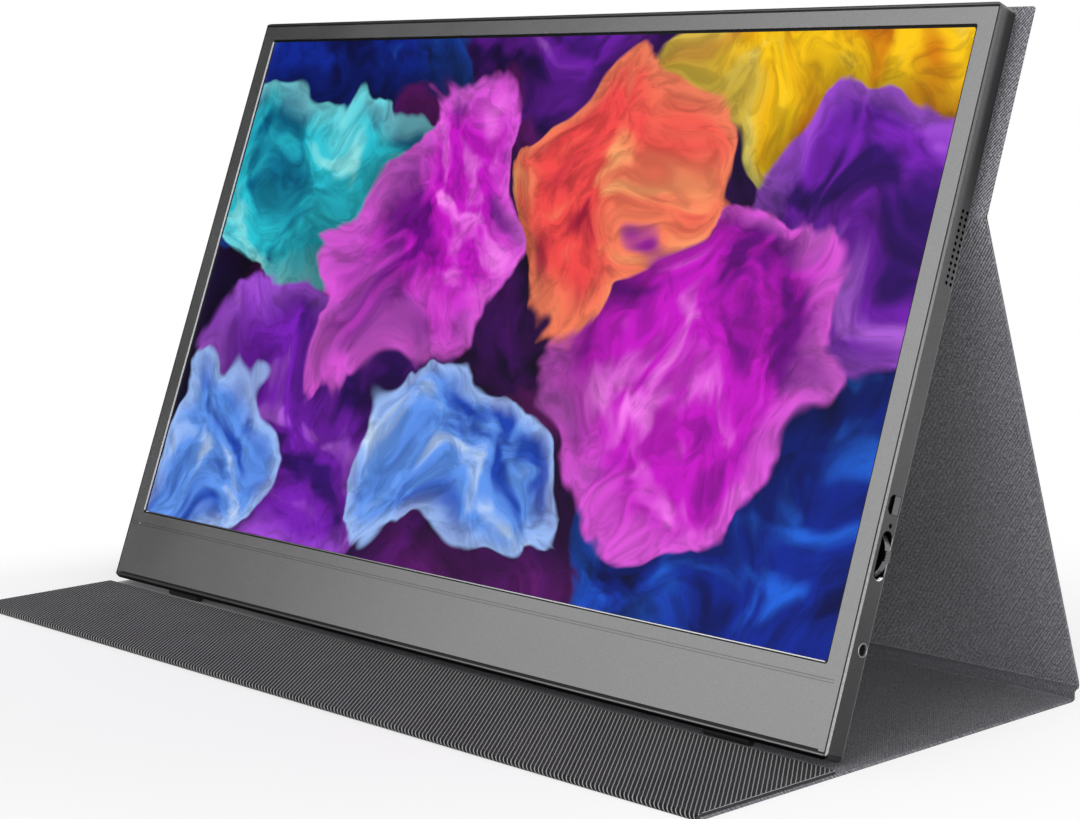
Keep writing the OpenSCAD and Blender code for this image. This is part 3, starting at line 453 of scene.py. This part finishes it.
def bezel_metal(name, color, metallic, roughness, grain):
    """The front plate's metal, with the chin's seam scored into it."""
    s = metal(name, color, metallic, roughness, grain)
    _, height, across = body_place(s)
    color = s.color
    for line in SEAM_LINES:
        away = s.math("ABSOLUTE", s.math("SUBTRACT", height, line))
        score = s.every(s.fall(away, 0.12, 0.2), s.fall(across, SEAM_END - 0.2, SEAM_END))
        color = s.mix(s.math("MULTIPLY", score, SEAM_SHARE), color, SEAM_COLOR)
    s.set("Base Color", color)
    return s.material


def circuit(name):
    """Solder mask over faint copper tracks."""
    s = Shader(name, Roughness=0.45)
    place = s.place()
    tracks = s.node("ShaderNodeTexBrick", {
        "Vector": place, "Color1": srgb(24, 92, 52), "Color2": srgb(20, 80, 46),
        "Mortar": srgb(58, 120, 60), "Scale": 0.35, "Mortar Size": 0.04,
    })
    s.set("Base Color", tracks.outputs["Color"])
    s.bump(tracks.outputs["Fac"], 0.02 * MM, 0.5)
    return s.material


# The picture's colours, each as its dark, main and light tint.
VIOLET = (srgb(52, 10, 110), srgb(122, 30, 186), srgb(192, 104, 240))
MAGENTA = (srgb(104, 0, 128), srgb(200, 20, 200), srgb(250, 124, 244))
GOLD = (srgb(214, 120, 0), srgb(255, 202, 12), srgb(255, 236, 120))
CORAL = (srgb(160, 20, 56), srgb(244, 74, 74), srgb(255, 168, 110))
CYAN = (srgb(0, 92, 130), srgb(40, 196, 214), srgb(150, 238, 240))
SKY = (srgb(26, 66, 176), srgb(96, 150, 240), srgb(200, 224, 255))
NIGHT = (srgb(6, 14, 74), srgb(14, 40, 150), srgb(34, 104, 230))
PLUM = (srgb(34, 4, 60), srgb(72, 10, 104), srgb(130, 30, 130))

# Its clouds from the back to the front: tints, middle and reach in picture heights,
# stretch across and up, and turn in radians.
CLOUDS = (
    (VIOLET, (1.02, 0.94), 0.50, (0.6, 1.1), 0.2),
    (NIGHT, (0.10, 0.98), 0.46, (0.8, 1.0), 0.5),
    (PLUM, (0.78, 0.40), 0.52, (0.8, 0.9), 0.4),
    (GOLD, (1.60, 0.96), 0.34, (0.8, 1.1), -0.3),
    (NIGHT, (1.66, 0.20), 0.44, (0.9, 1.1), 0.3),
    (VIOLET, (1.62, 0.60), 0.26, (0.9, 1.0), 0.9),
    (CYAN, (0.20, 0.70), 0.27, (0.8, 1.2), 0.6),
    (MAGENTA, (1.36, 0.44), 0.30, (0.8, 1.2), -0.5),
    (VIOLET, (0.40, 0.20), 0.33, (0.7, 1.2), 0.1),
    (SKY, (0.12, 0.12), 0.20, (1.0, 0.9), -0.4),
    (CORAL, (1.06, 0.70), 0.21, (1.1, 0.8), 0.4),
    (MAGENTA, (0.62, 0.64), 0.27, (1.1, 0.8), 0.7),
    (SKY, (0.86, 0.18), 0.22, (0.8, 1.2), -0.2),
)

# A cloud's folds, and its zones as shares of its reach: its crisp edge, the paler rim inside
# it and the soft shade around it.
FOLD_SCALE = 2.9
FOLD_PULL = 0.9
LIT_FROM = Vector((0.03, 0.045, 0))
CLOUD_EDGE = (0.95, 1.02)
CLOUD_RIM = (0.62, 0.98)
RIM_LIGHT = 0.45
SHADE_RING = (0.98, 1.45)
SHADE_LEAST = 0.55

PICTURE_W = 344.2 * MM
PICTURE_H = 193.6 * MM


def cloud_layer(s, below, place, tints, center, reach, stretch, turn):
    """Lays a billowing patch over a colour: crisp edge, dark folds, soft shade around it."""
    node = s.node("ShaderNodeMapping", {
        "Vector": place, "Rotation": (0, 0, turn), "Scale": (stretch[0], stretch[1], 1),
    })
    middle = Matrix.Rotation(turn, 2) @ Vector((center[0] * stretch[0], center[1] * stretch[1]))
    away = s.math("DIVIDE", s.vector("DISTANCE", node.outputs[0], (middle.x, middle.y, 0)), reach)

    shift = Vector((turn * 3, reach * 5, 0))
    folds, lit = (s.noise(s.vector("ADD", place, tuple(offset)), FOLD_SCALE, 3.0, 0.5, 0.5)
                  for offset in (shift, shift + LIT_FROM))
    slope = s.math("SUBTRACT", folds, lit)
    away = s.math("MULTIPLY_ADD", s.math("SUBTRACT", folds, 0.5), FOLD_PULL, away)

    under = s.darken(below, s.between(away, *SHADE_RING, SHADE_LEAST, 1.0))
    dark, main, light = tints
    color = s.mix(s.rise(slope, -0.10, 0.03), dark, main)
    color = s.mix(s.rise(slope, 0.03, 0.15), color, light)
    color = s.mix(s.between(away, *CLOUD_RIM, 0.0, RIM_LIGHT), color, light)
    return s.mix(s.fall(away, *CLOUD_EDGE), under, color)


def picture_material():
    """The display's picture: billowing clouds of colour, of this script's own making."""
    s = Shader("display_picture", Roughness=0.45, Specular_IOR_Level=0.1)
    s.set("Base Color", (0, 0, 0, 1))
    s.set("Emission Strength", 1.0)
    place = s.vector("SCALE", s.place("picture"), scale=MM / PICTURE_H)
    half = (0.5, 0.5, 0.5)
    drift = s.vector("SUBTRACT", s.noise(place, 2.1, 2.0, 0.5, color=True), half)
    flow = s.vector("ADD", place, s.vector("SCALE", drift, scale=0.55))
    curl = s.vector("SUBTRACT", s.noise(flow, 5.0, 3.0, 0.5, color=True), half)
    flow = s.vector("ADD", flow, s.vector("SCALE", curl, scale=0.16))
    haze = s.rise(s.noise(flow, 1.2, 3.0, 0.5), 0.35, 0.65)
    color = s.mix(haze, srgb(16, 12, 62), srgb(74, 14, 104))
    for cloud in CLOUDS:
        color = cloud_layer(s, color, flow, *cloud)
    fibres = s.noise(flow, 15.0, 3.0, 0.6, 1.4)
    shade = s.between(fibres, 0.32, 0.62, 0.66, 1.0)
    s.set("Emission Color", s.darken(color, shade))
    return s.material


MATERIALS = {
    "shell_metal": shell_metal("shell_metal", srgb(104, 104, 105), 0.9, 0.36, 0.10),
    "bezel_metal": bezel_metal("bezel_metal", srgb(152, 152, 153), 0.95, 0.34, 0.06),
    "control_metal": control_metal("control_metal", srgb(118, 118, 119), 0.85, 0.32, 0.08),
    "tray_metal": metal("tray_metal", srgb(190, 191, 193), 0.9, 0.35, 0.05).material,
    "socket_metal": metal("socket_metal", srgb(196, 198, 200), 1.0, 0.25, 0.05).material,
    "steel": metal("steel", srgb(150, 152, 154), 1.0, 0.35, 0.08).material,
    "magnet": metal("magnet", srgb(176, 176, 178), 1.0, 0.3, 0.06).material,
    "frame_plastic": moulded("frame_plastic", srgb(24, 24, 25), 0.6),
    "display_glass": moulded("display_glass", srgb(10, 10, 12), 0.3, specular=0.2),
    "clear_acrylic": moulded("clear_acrylic", srgb(8, 8, 9), 0.8, specular=0.05),
    "lamp": moulded("lamp", srgb(240, 240, 220), 0.5),
    "collar_metal": metal("collar_metal", srgb(150, 150, 151), 0.8, 0.45, 0.05).material,
    "circuit_board": circuit("circuit_board"),
    "flex": moulded("flex", srgb(196, 140, 60), 0.4),
    "black_plastic": moulded("black_plastic", srgb(30, 30, 31), 0.5),
    "mesh": moulded("mesh", srgb(8, 8, 8), 0.9),
    "lead_sheath": moulded("lead_sheath", srgb(120, 26, 26), 0.5),
    "foot_rubber": moulded("foot_rubber", srgb(22, 22, 23), 0.55),
    "cover_board": moulded("cover_board", srgb(150, 142, 126), 0.9),
}
skin_cloth = woven("cover_skin", srgb(8, 8, 9), srgb(146, 145, 147), 1.0, 0.2)
lining_cloth = woven("cover_lining", srgb(78, 77, 82), srgb(153, 152, 157), 0.25, 0.15,
                     fuzz=1.9, relief=0.8, lining=0.2)
# The heel's lining is darker than the rest: painted shade in the fold between base and leg.
heel_cloth = woven("heel_lining", srgb(62, 61, 66), srgb(122, 121, 126), 0.1, 0.15,
                   fuzz=0.8, relief=0.3, lining=0.1)
edge_cloth = moulded("cover_edge", srgb(40, 39, 43), 0.9, 0.4, 2.0)
edge_line = moulded("cover_edge_line", srgb(150, 149, 152), 0.9, 0.3, 2.0)
picture = picture_material()

MATERIALS["cover_skin"] = skin_cloth
MATERIALS["cover_lining"] = lining_cloth

slot_of = {part["node"]: part["material_slot"] for part in frame["record"]["subparts"]}
for node_name, node_object in frame["nodes"].items():
    node_object.data.materials.clear()
    node_object.data.materials.append(MATERIALS[slot_of[node_name]])


# ---- Pieces ----

def mesh_object(name, bm, *materials):
    """Turns a bmesh into an object in the scene."""
    mesh = bpy.data.meshes.new(name)
    bm.to_mesh(mesh)
    bm.free()
    for material in materials:
        mesh.materials.append(material)
    obj = bpy.data.objects.new(name, mesh)
    bpy.context.scene.collection.objects.link(obj)
    return obj


# ---- Cover cloth ----

class Track:
    """A straight run of the cover in the Y-Z plane; travel is the cloth's length before it."""

    def __init__(self, start, heading, inward, travel=0.0):
        self.start = start
        self.heading = heading
        self.inward = inward
        self.travel = travel

    def point(self, x, along, height):
        """A place on the run; height is counted from the outer face to the inner face."""
        yz = self.start + self.heading * along + self.inward * (height - COVER_T / 2)
        return Vector((x, yz.x, yz.y))


def track_between(start, end, travel):
    """A run from one fold line to the next."""
    heading = (end - start).normalized()
    return Track(start, heading, Vector((-heading.y, heading.x)), travel)


base_len = HEEL_FOLD.x - FRONT_FOLD.x
heel_len = (LEG_FOLD - HEEL_FOLD).length
leg_len = (BACK_FOLD - LEG_FOLD).length
BACKWARDS, UPWARDS = Vector((1, 0)), Vector((0, 1))
base_track = Track(Vector((FRONT_FOLD.x, COVER_T / 2)), BACKWARDS, UPWARDS)
heel_track = track_between(HEEL_FOLD, LEG_FOLD, base_len)
leg_track = track_between(LEG_FOLD, BACK_FOLD, base_len + heel_len)
upper_track = track_between(BACK_FOLD, BACK_FOLD + UPPER_DIR, base_len + heel_len + leg_len)
flap_track = Track(Vector((FRONT_FOLD.x, 2 * FRONT_FOLD.y - COVER_T / 2)), BACKWARDS, -UPWARDS)

CORNER_R = 0.6 * MM
CLOTH_SOFT = 0.22 * MM


def finish_cloth(name, bm, flat, *materials):
    """Turns a bmesh into a cloth object whose map holds metres across and along the cover."""
    bmesh.ops.recalc_face_normals(bm, faces=bm.faces)
    layer = bm.loops.layers.uv.new("cloth")
    for face in bm.faces:
        for loop in face.loops:
            loop[layer].uv = flat[loop.vert.index]
    return mesh_object(name, bm, *materials)


def soft_edge(thickness):
    """How far a cloth's edge is rounded."""
    return min(CLOTH_SOFT, thickness * 0.45)


def panel(name, track, a0, a1, low, high, inset, sign, *materials):
    """A panel from a0 to a1 along its track, between two heights, with soft edges.

    The materials are the cloth, or the outer face's cloth, the lower edge's and the rest's.
    sign is -1 where the cloth's length counts down along the track.
    """
    half = COVER_HALF - inset
    thick = high - low
    bm = bmesh.new()
    bmesh.ops.create_cube(bm, size=1)
    for vert in bm.verts:
        x, y, z = vert.co
        along = a0 + inset + (y + 0.5) * (a1 - a0 - 2 * inset)
        vert.co = (x * 2 * half, along, low + (z + 0.5) * thick)
    upright = [e for e in bm.edges if abs(e.verts[0].co.z - e.verts[1].co.z) > thick / 2]
    bmesh.ops.bevel(bm, geom=upright, offset=CORNER_R, segments=5, profile=0.5, affect="EDGES")
    rims = [e for e in bm.edges if abs(e.verts[0].co.z - e.verts[1].co.z) < thick / 2]
    bmesh.ops.bevel(bm, geom=rims, offset=soft_edge(thick), segments=4, profile=0.5, affect="EDGES")
    bm.normal_update()
    for face in bm.faces:
        face.smooth = len(face.verts) <= 4
        if len(materials) > 1 and face.normal.z > -0.9:
            face.material_index = 1 if face.normal.z < -0.3 else 2
    bm.verts.index_update()
    flat = [(v.co.x, track.travel + sign * (v.co.y + v.co.z)) for v in bm.verts]
    for vert in bm.verts:
        vert.co = track.point(*vert.co)
    return finish_cloth(name, bm, flat, *materials)


def path_lengths(path):
    """How far along a path each of its points is."""
    lengths = [0.0]
    for a, b in zip(path, path[1:]):
        lengths.append(lengths[-1] + (b - a).length)
    return lengths


def strip_stations(half, soft):
    """Where a strip's sections are along X, and how much thinner each is for its soft ends."""
    ends = [(-half + soft * (1 - math.cos(a)), soft * (1 - math.sin(a)))
            for a in (0, math.pi / 6, math.pi / 3, math.pi / 2)]
    middle = [(x, 0) for x in (-half * 0.5, 0, half * 0.5)]
    return ends + middle + [(-x, shrink) for x, shrink in reversed(ends)]


def strip(name, path, thickness, inset, travel, lining):
    """A soft strip, as wide as the cover, that follows a path of (y, z) points.

    Its skin is on the path's right side and its lining on the left. travel is the cloth's
    length at the path's start.
    """
    headings = []
    for i in range(len(path)):
        step = path[min(i + 1, len(path) - 1)] - path[max(i - 1, 0)]
        headings.append(step.normalized())
    lengths = path_lengths(path)
    bm = bmesh.new()
    flat = []
    rings = []
    for x, shrink in strip_stations(COVER_HALF - inset, soft_edge(thickness)):
        outer = []
        inner = []
        for at, heading, length in zip(path, headings, lengths):
            side = Vector((-heading.y, heading.x)) * (thickness / 2 - shrink)
            outer.append((at - side, length))
            inner.append((at + side, length))
        ring = []
        for at, length in outer + inner[::-1]:
            ring.append(bm.verts.new((x, at.x, at.y)))
            flat.append((x, travel + length))
        rings.append(ring)
    count = len(rings[0])
    for a, b in zip(rings, rings[1:]):
        for i in range(count):
            j = (i + 1) % count
            face = bm.faces.new((a[i], a[j], b[j], b[i]))
            face.smooth = True
            face.material_index = 1 if i >= len(path) else 0
    for ring in (rings[0], rings[-1]):
        for i in range(len(path) - 1):
            bm.faces.new((ring[i], ring[i + 1], ring[count - 2 - i], ring[count - 1 - i]))
    bm.verts.index_update()
    return finish_cloth(name, bm, flat, skin_cloth, lining)


def dress(obj, body, slot, *nodes):
    """Lets a piece ride on a body, and stand for some of its solids."""
    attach(obj, body)
    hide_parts(*nodes)


FOLD_HALF = 0.5 * MM
FRONT_HALF = 1.0 * MM
SKIN_T = COVER_T - 0.04 * MM
LINING_T = 0.25 * MM
LINING_INSET = 0.8 * MM


def dress_panel(body, track, a0, a1, line, edge, sign=1):
    """A panel's skin, with the line and the rest of its edge, and its lining."""
    node = body.split("_")[0]
    skin = panel(f"{node}_cloth", track, a0, a1, 0, SKIN_T, 0, sign, skin_cloth, line, edge)
    dress(skin, body, "cover_skin", f"{node}_skin")
    lining = panel(f"{node}_inner_cloth", track, a0, a1, COVER_T - LINING_T, COVER_T,
                   LINING_INSET, sign, lining_cloth)
    dress(lining, body, "cover_lining", f"{node}_lining")


dress_panel("base", base_track, FRONT_HALF, base_len - FOLD_HALF, lining_cloth, lining_cloth)
dress_panel("leg", leg_track, FOLD_HALF, leg_len - FOLD_HALF, lining_cloth, lining_cloth)
dress_panel("upper_panel", upper_track, FOLD_HALF, UPPER_LEN, lining_cloth, lining_cloth)
dress_panel("flap", flap_track, FRONT_HALF, FLAP_LEN, edge_line, edge_cloth, -1)


def bent_path(start, middle, end, count=10):
    """A smooth bend from start to end, pulled towards middle."""
    points = []
    for i in range(count + 1):
        t = i / count
        points.append(start * (1 - t) ** 2 + middle * 2 * t * (1 - t) + end * t ** 2)
    return points


CREASE_REACH = 1.1 * MM
CREASE_T = COVER_T - 0.12 * MM
CREASE_INSET = 0.05 * MM


def crease(name, node, fold, before, after):
    """The cloth that bends where two panels meet."""
    start = fold - before.heading * CREASE_REACH
    end = fold + after.heading * CREASE_REACH
    obj = strip(name, bent_path(start, fold, end), CREASE_T, CREASE_INSET, 0, lining_cloth)
    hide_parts(node)
    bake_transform(obj)


crease("back_crease", "back_fold_fabric", BACK_FOLD, leg_track, upper_track)
crease("leg_crease", "leg_fold_fabric", LEG_FOLD, heel_track, leg_track)
crease("heel_crease", "heel_fold_fabric", HEEL_FOLD, base_track, heel_track)


HEEL_BOW = 1.1 * MM
HEEL_FROM, HEEL_TO = 0.06, 0.94
HEEL_T = COVER_T - 0.15 * MM
HEEL_STEPS = 12
EDGE_INSET = 0.03 * MM


def heel_strip():
    """The heel's soft strip, which bows inwards."""
    path = []
    for i in range(HEEL_STEPS + 1):
        t = i / HEEL_STEPS
        inward = heel_track.inward * HEEL_BOW * math.sin(math.pi * t)
        path.append(HEEL_FOLD.lerp(LEG_FOLD, HEEL_FROM + (HEEL_TO - HEEL_FROM) * t) + inward)
    obj = strip("heel_cloth", path, HEEL_T, EDGE_INSET, base_len, heel_cloth)
    dress(obj, "heel", "cover_skin", "heel_skin", "heel_board", "heel_lining")


heel_strip()


ROLL_T = 0.55 * MM
ROLL_R = FRONT_FOLD.y - 0.02 * MM - ROLL_T / 2
ROLL_TAB = FRONT_HALF + 0.3 * MM
ROLL_STEPS = 16


def front_roll():
    """The cloth that rolls around the folded front edge, from the flap down to the base."""
    tabs = (ROLL_TAB, ROLL_TAB / 2)
    path = [FRONT_FOLD + Vector((tab, ROLL_R)) for tab in tabs]
    for i in range(ROLL_STEPS + 1):
        turn = math.pi * i / ROLL_STEPS
        path.append(FRONT_FOLD + Vector((-math.sin(turn), math.cos(turn))) * ROLL_R)
    path += [FRONT_FOLD + Vector((tab, -ROLL_R)) for tab in reversed(tabs)]
    obj = strip("front_roll", path, ROLL_T, EDGE_INSET, -ROLL_TAB, lining_cloth)
    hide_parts("front_fold_fabric")
    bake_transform(obj)


front_roll()


# ---- Screen ----

PICTURE_V = 27.5 * MM
PICTURE_N = 0.74 * MM
PICTURE_CORNER = 0.9 * MM


def monitor_piece(name, bm, material):
    """Turns a bmesh into a piece that rides on the monitor."""
    obj = mesh_object(name, bm, material)
    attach(obj, "monitor")


def picture_sheet():
    """The lit picture, as a film on the glass with small round corners."""
    corner = PICTURE_CORNER
    outline = []
    for quarter, (a, b) in enumerate(((1, 1), (0, 1), (0, 0), (1, 0))):
        middle = Vector((a * (PICTURE_W - 2 * corner), b * (PICTURE_H - 2 * corner)))
        middle += Vector((corner, corner))
        for i in range(5):
            turn = math.pi / 2 * (quarter + i / 4)
            outline.append(middle + Vector((math.cos(turn), math.sin(turn))) * corner)
    bm = bmesh.new()
    points = [on_screen(p.x - PICTURE_W / 2, PICTURE_V + p.y, PICTURE_N) for p in outline]
    face = bm.faces.new([bm.verts.new(point) for point in points])
    layer = bm.loops.layers.uv.new("picture")
    for loop, p in zip(face.loops, outline):
        loop[layer].uv = p
    face.normal_update()
    if face.normal.dot(SCREEN_N) > 0:
        face.normal_flip()
    monitor_piece("screen_picture", bm, picture)


picture_sheet()


RING_STEPS = 40
JACK_RING_R = 2.15 * MM
JACK_BORE_R = 1.8 * MM
JACK_RING_OUT = 0.12 * MM


def jack_ring():
    """The headphone jack's flat metal ring on the right side wall, with a rounded lip."""
    mounts = {mount["name"]: mount for mount in frame["record"]["mounts"]}
    center = Vector(mounts["headphone_jack"]["pos_m"])
    center.x = SIDE_U
    radius, bore, proud = JACK_RING_R, JACK_BORE_R, JACK_RING_OUT
    bm = bmesh.new()
    lip = (radius - bore) * 0.3
    profile = [(bore, -0.6 * MM), (bore, proud - lip / 2), (bore + lip / 2, proud),
               (radius - lip, proud), (radius, proud - lip), (radius, -0.05 * MM)]
    loops = []
    for i in range(RING_STEPS):
        turn = 2 * math.pi * i / RING_STEPS
        v, n = math.cos(turn), math.sin(turn)
        loops.append([
            bm.verts.new(center + SCREEN_U * out + SCREEN_V * (r * v) + SCREEN_N * (r * n))
            for r, out in profile
        ])
    for a, b in zip(loops, loops[1:] + loops[:1]):
        for j in range(len(profile) - 1):
            bm.faces.new((a[j], a[j + 1], b[j + 1], b[j])).smooth = True
    bmesh.ops.recalc_face_normals(bm, faces=bm.faces)
    monitor_piece("jack_ring", bm, MATERIALS["collar_metal"])


jack_ring()


def trim(name, sections, material):
    """A solid of the bezel between two equal outlines, each a list of (u, v, n)."""
    bm = bmesh.new()
    ends = [[bm.verts.new(on_screen(*point)) for point in section] for section in sections]
    count = len(ends[0])
    for i in range(count):
        j = (i + 1) % count
        bm.faces.new((ends[0][i], ends[0][j], ends[1][j], ends[1][i]))
    bm.faces.new(ends[0])
    bm.faces.new(ends[1])
    bmesh.ops.recalc_face_normals(bm, faces=bm.faces)
    monitor_piece(name, bm, material)


def edge_highlight_paint():
    """A painted highlight for the opening's edges: bright at the left side, fading along the bottom."""
    s = Shader("painted_edge_highlight", Roughness=0.35)
    across = s.vector("DOT_PRODUCT", s.place(), (1, 0, 0))
    grain = s.noise(s.place(), 0.4, 2.0)
    dull = s.mix(grain, srgb(60, 60, 61), srgb(72, 72, 73))
    bright = s.mix(grain, srgb(188, 188, 190), srgb(206, 206, 208))
    along = s.mix(s.rise(across, -120.0, 120.0), dull, bright)
    at_left = s.fall(across, -171.0, -170.0)
    s.set("Base Color", s.mix(at_left, along, bright))
    return s.material


OPENING_GAP = 0.88 * MM
WALL_INSET = 1.0 * MM
# Strips that carry the opening's painted highlight.
WALL_PROFILE = ((0, 0.03), (0.12, 0.05), (0.18, 0.6), (0, 0.6))
SILL_PROFILE = ((-0.42, 0.5), (-0.08, 0.5), (-0.08, 0.72), (-0.42, 0.72))
SILL_LEFT, SILL_RIGHT = 0.4 * MM, 0.6 * MM


def opening_edge_highlights():
    """Strips carrying a painted highlight on the opening's edges: the left wall, and a fine line below the
    picture.
    """
    edge_highlight = edge_highlight_paint()
    left = -PICTURE_W / 2 - OPENING_GAP
    low = PICTURE_V - OPENING_GAP + WALL_INSET
    high = PICTURE_V + PICTURE_H + OPENING_GAP - WALL_INSET
    trim("opening_wall_highlight",
         [[(left + u * MM, v, n * MM) for u, n in WALL_PROFILE] for v in (low, high)], edge_highlight)
    ends = (-PICTURE_W / 2 + SILL_LEFT, PICTURE_W / 2 - SILL_RIGHT)
    trim("opening_sill_highlight",
         [[(u, PICTURE_V + v * MM, n * MM) for v, n in SILL_PROFILE] for u in ends], edge_highlight)


opening_edge_highlights()


# ---- Camera ----

CAMERA_AT = (610.59 * MM, -515.51 * MM, 198.97 * MM)
CAMERA_YAW = math.radians(46.298)
CAMERA_PITCH = math.radians(-6.524)
CAMERA_ROLL = math.radians(-0.367)
PHOTO_W, PHOTO_H = 1080, 819
FOCAL_PX = 2414.0
CENTER_PX = (557.10, 348.26)


def add_camera():
    """The camera that the part is seen from."""
    data = bpy.data.cameras.new("camera")
    data.sensor_width = 36
    data.lens = FOCAL_PX * data.sensor_width / PHOTO_W
    data.shift_x = (PHOTO_W / 2 - CENTER_PX[0]) / PHOTO_W
    data.shift_y = (CENTER_PX[1] - PHOTO_H / 2) / PHOTO_W
    data.clip_start = 0.01
    camera = bpy.data.objects.new("camera", data)
    turn = Matrix.Rotation(CAMERA_YAW, 4, "Z") @ Matrix.Rotation(math.pi / 2 + CAMERA_PITCH, 4, "X")
    camera.matrix_world = Matrix.Translation(CAMERA_AT) @ turn @ Matrix.Rotation(CAMERA_ROLL, 4, "Z")
    bpy.context.scene.collection.objects.link(camera)
    bpy.context.scene.camera = camera


add_camera()


# ---- Studio ----

def card(name, corners, material):
    """A flat sheet of the studio, which isn't part of the object."""
    mesh = bpy.data.meshes.new(name)
    mesh.from_pydata(corners, [], [tuple(range(len(corners)))])
    mesh.materials.append(material)
    obj = bpy.data.objects.new(name, mesh)
    bpy.context.scene.collection.objects.link(obj)
    return obj


FLOOR_REACH = 6.0
BACKDROP_MIDDLE = (-60, 0, 0)
BACKDROP_FROM, BACKDROP_TO = 120.0, 370.0
BACKDROP_LEAST = 0.45
LEFT_WAY = (-0.9, 0.3, 0)
LEFT_FROM, LEFT_TO = 130.0, 260.0


def studio_white():
    """White floor that keeps the object's shadow and fades into the backdrop."""
    s = Shader("studio_floor", Roughness=0.9, Specular_IOR_Level=0.0)
    place = s.place()
    cloud = s.noise(place, 0.002, 2.0)
    white = s.mix(cloud, (0.90, 0.90, 0.90, 1), (0.92, 0.92, 0.92, 1))
    s.set("Base Color", white)
    path = s.node("ShaderNodeLightPath")
    seen = s.math("MAXIMUM", path.outputs["Is Camera Ray"], path.outputs["Is Transmission Ray"])
    away = s.vector("DISTANCE", place, BACKDROP_MIDDLE)
    far = s.between(away, BACKDROP_FROM, BACKDROP_TO, BACKDROP_LEAST, 1.0)
    left = s.rise(s.vector("DOT_PRODUCT", place, LEFT_WAY), LEFT_FROM, LEFT_TO)
    far = s.math("MAXIMUM", far, left)
    glow = s.node("ShaderNodeEmission", {"Color": (1, 1, 1, 1), "Strength": 1.0})
    blend = s.node("ShaderNodeMixShader", {0: s.math("MULTIPLY", seen, far)})
    s.feed(blend.inputs[1], s.principled.outputs[0])
    s.feed(blend.inputs[2], glow.outputs[0])
    s.feed(s.tree.nodes["Material Output"].inputs["Surface"], blend.outputs[0])
    return s.material


def add_floor():
    """The floor, much wider than any view of the part."""
    reach = FLOOR_REACH
    corners = [(-reach, -reach, 0), (reach, -reach, 0), (reach, reach, 0), (-reach, reach, 0)]
    card("floor", corners, studio_white())


def add_flag(name, center, facing, width, height):
    """A dark card that only reflections see."""
    s = Shader(name + "_cloth", Roughness=1.0, Specular_IOR_Level=0.0)
    s.set("Base Color", (0.01, 0.01, 0.01, 1))
    normal = Vector(facing).normalized()
    side = normal.cross(Vector((0, 0, 1))).normalized() * width / 2
    up = side.cross(normal).normalized() * height / 2
    at = Vector(center)
    flag = card(name, [at - side - up, at + side - up, at + side + up, at - side + up], s.material)
    flag.visible_camera = False
    flag.visible_diffuse = False
    flag.visible_shadow = False


WORLD_LIGHT = 0.42


def add_world():
    """A world that looks white, and gives less light than it shows."""
    world = bpy.data.worlds.new("studio")
    bpy.context.scene.world = world
    world.use_nodes = True
    nodes = world.node_tree.nodes
    links = world.node_tree.links
    background = nodes["Background"]
    path = nodes.new("ShaderNodeLightPath")
    seen = path.outputs["Is Camera Ray"]
    for name in ("Is Glossy Ray", "Is Transmission Ray"):
        most = nodes.new("ShaderNodeMath")
        most.operation = "MAXIMUM"
        links.new(seen, most.inputs[0])
        links.new(path.outputs[name], most.inputs[1])
        seen = most.outputs[0]
    level = nodes.new("ShaderNodeMapRange")
    level.inputs["To Min"].default_value = WORLD_LIGHT
    level.inputs["To Max"].default_value = 1.0
    links.new(seen, level.inputs["Value"])
    links.new(level.outputs[0], background.inputs["Strength"])
    background.inputs["Color"].default_value = (1, 1, 1, 1)


def add_lamp(name, at, target, size, power, glossy=True):
    """A round soft light; no camera sees it."""
    data = bpy.data.lights.new(name, "AREA")
    data.shape = "DISK"
    data.size = size
    data.energy = power
    lamp = bpy.data.objects.new(name, data)
    lamp.location = at
    lamp.rotation_euler = (Vector(target) - Vector(at)).to_track_quat("-Z", "Y").to_euler()
    lamp.visible_camera = False
    lamp.visible_glossy = glossy
    bpy.context.scene.collection.objects.link(lamp)


add_floor()
add_world()
add_lamp("key", (0.3, -1.2, 1.4), (0, 0.03, 0.08), size=1.2, power=15)
add_lamp("side", (1.3, -0.9, 0.35), (0.1, 0.1, 0.08), size=0.8, power=16)
add_lamp("low_left", (-0.40, -0.18, 0.06), (-0.12, 0.01, 0.0), size=0.05, power=0.4, glossy=False)
add_flag("left_flag", (-0.6, 0.22, 0.7), facing=(1, 0, 0), width=1.27, height=1.4)

scene = bpy.context.scene
scene.view_settings.view_transform = "Standard"
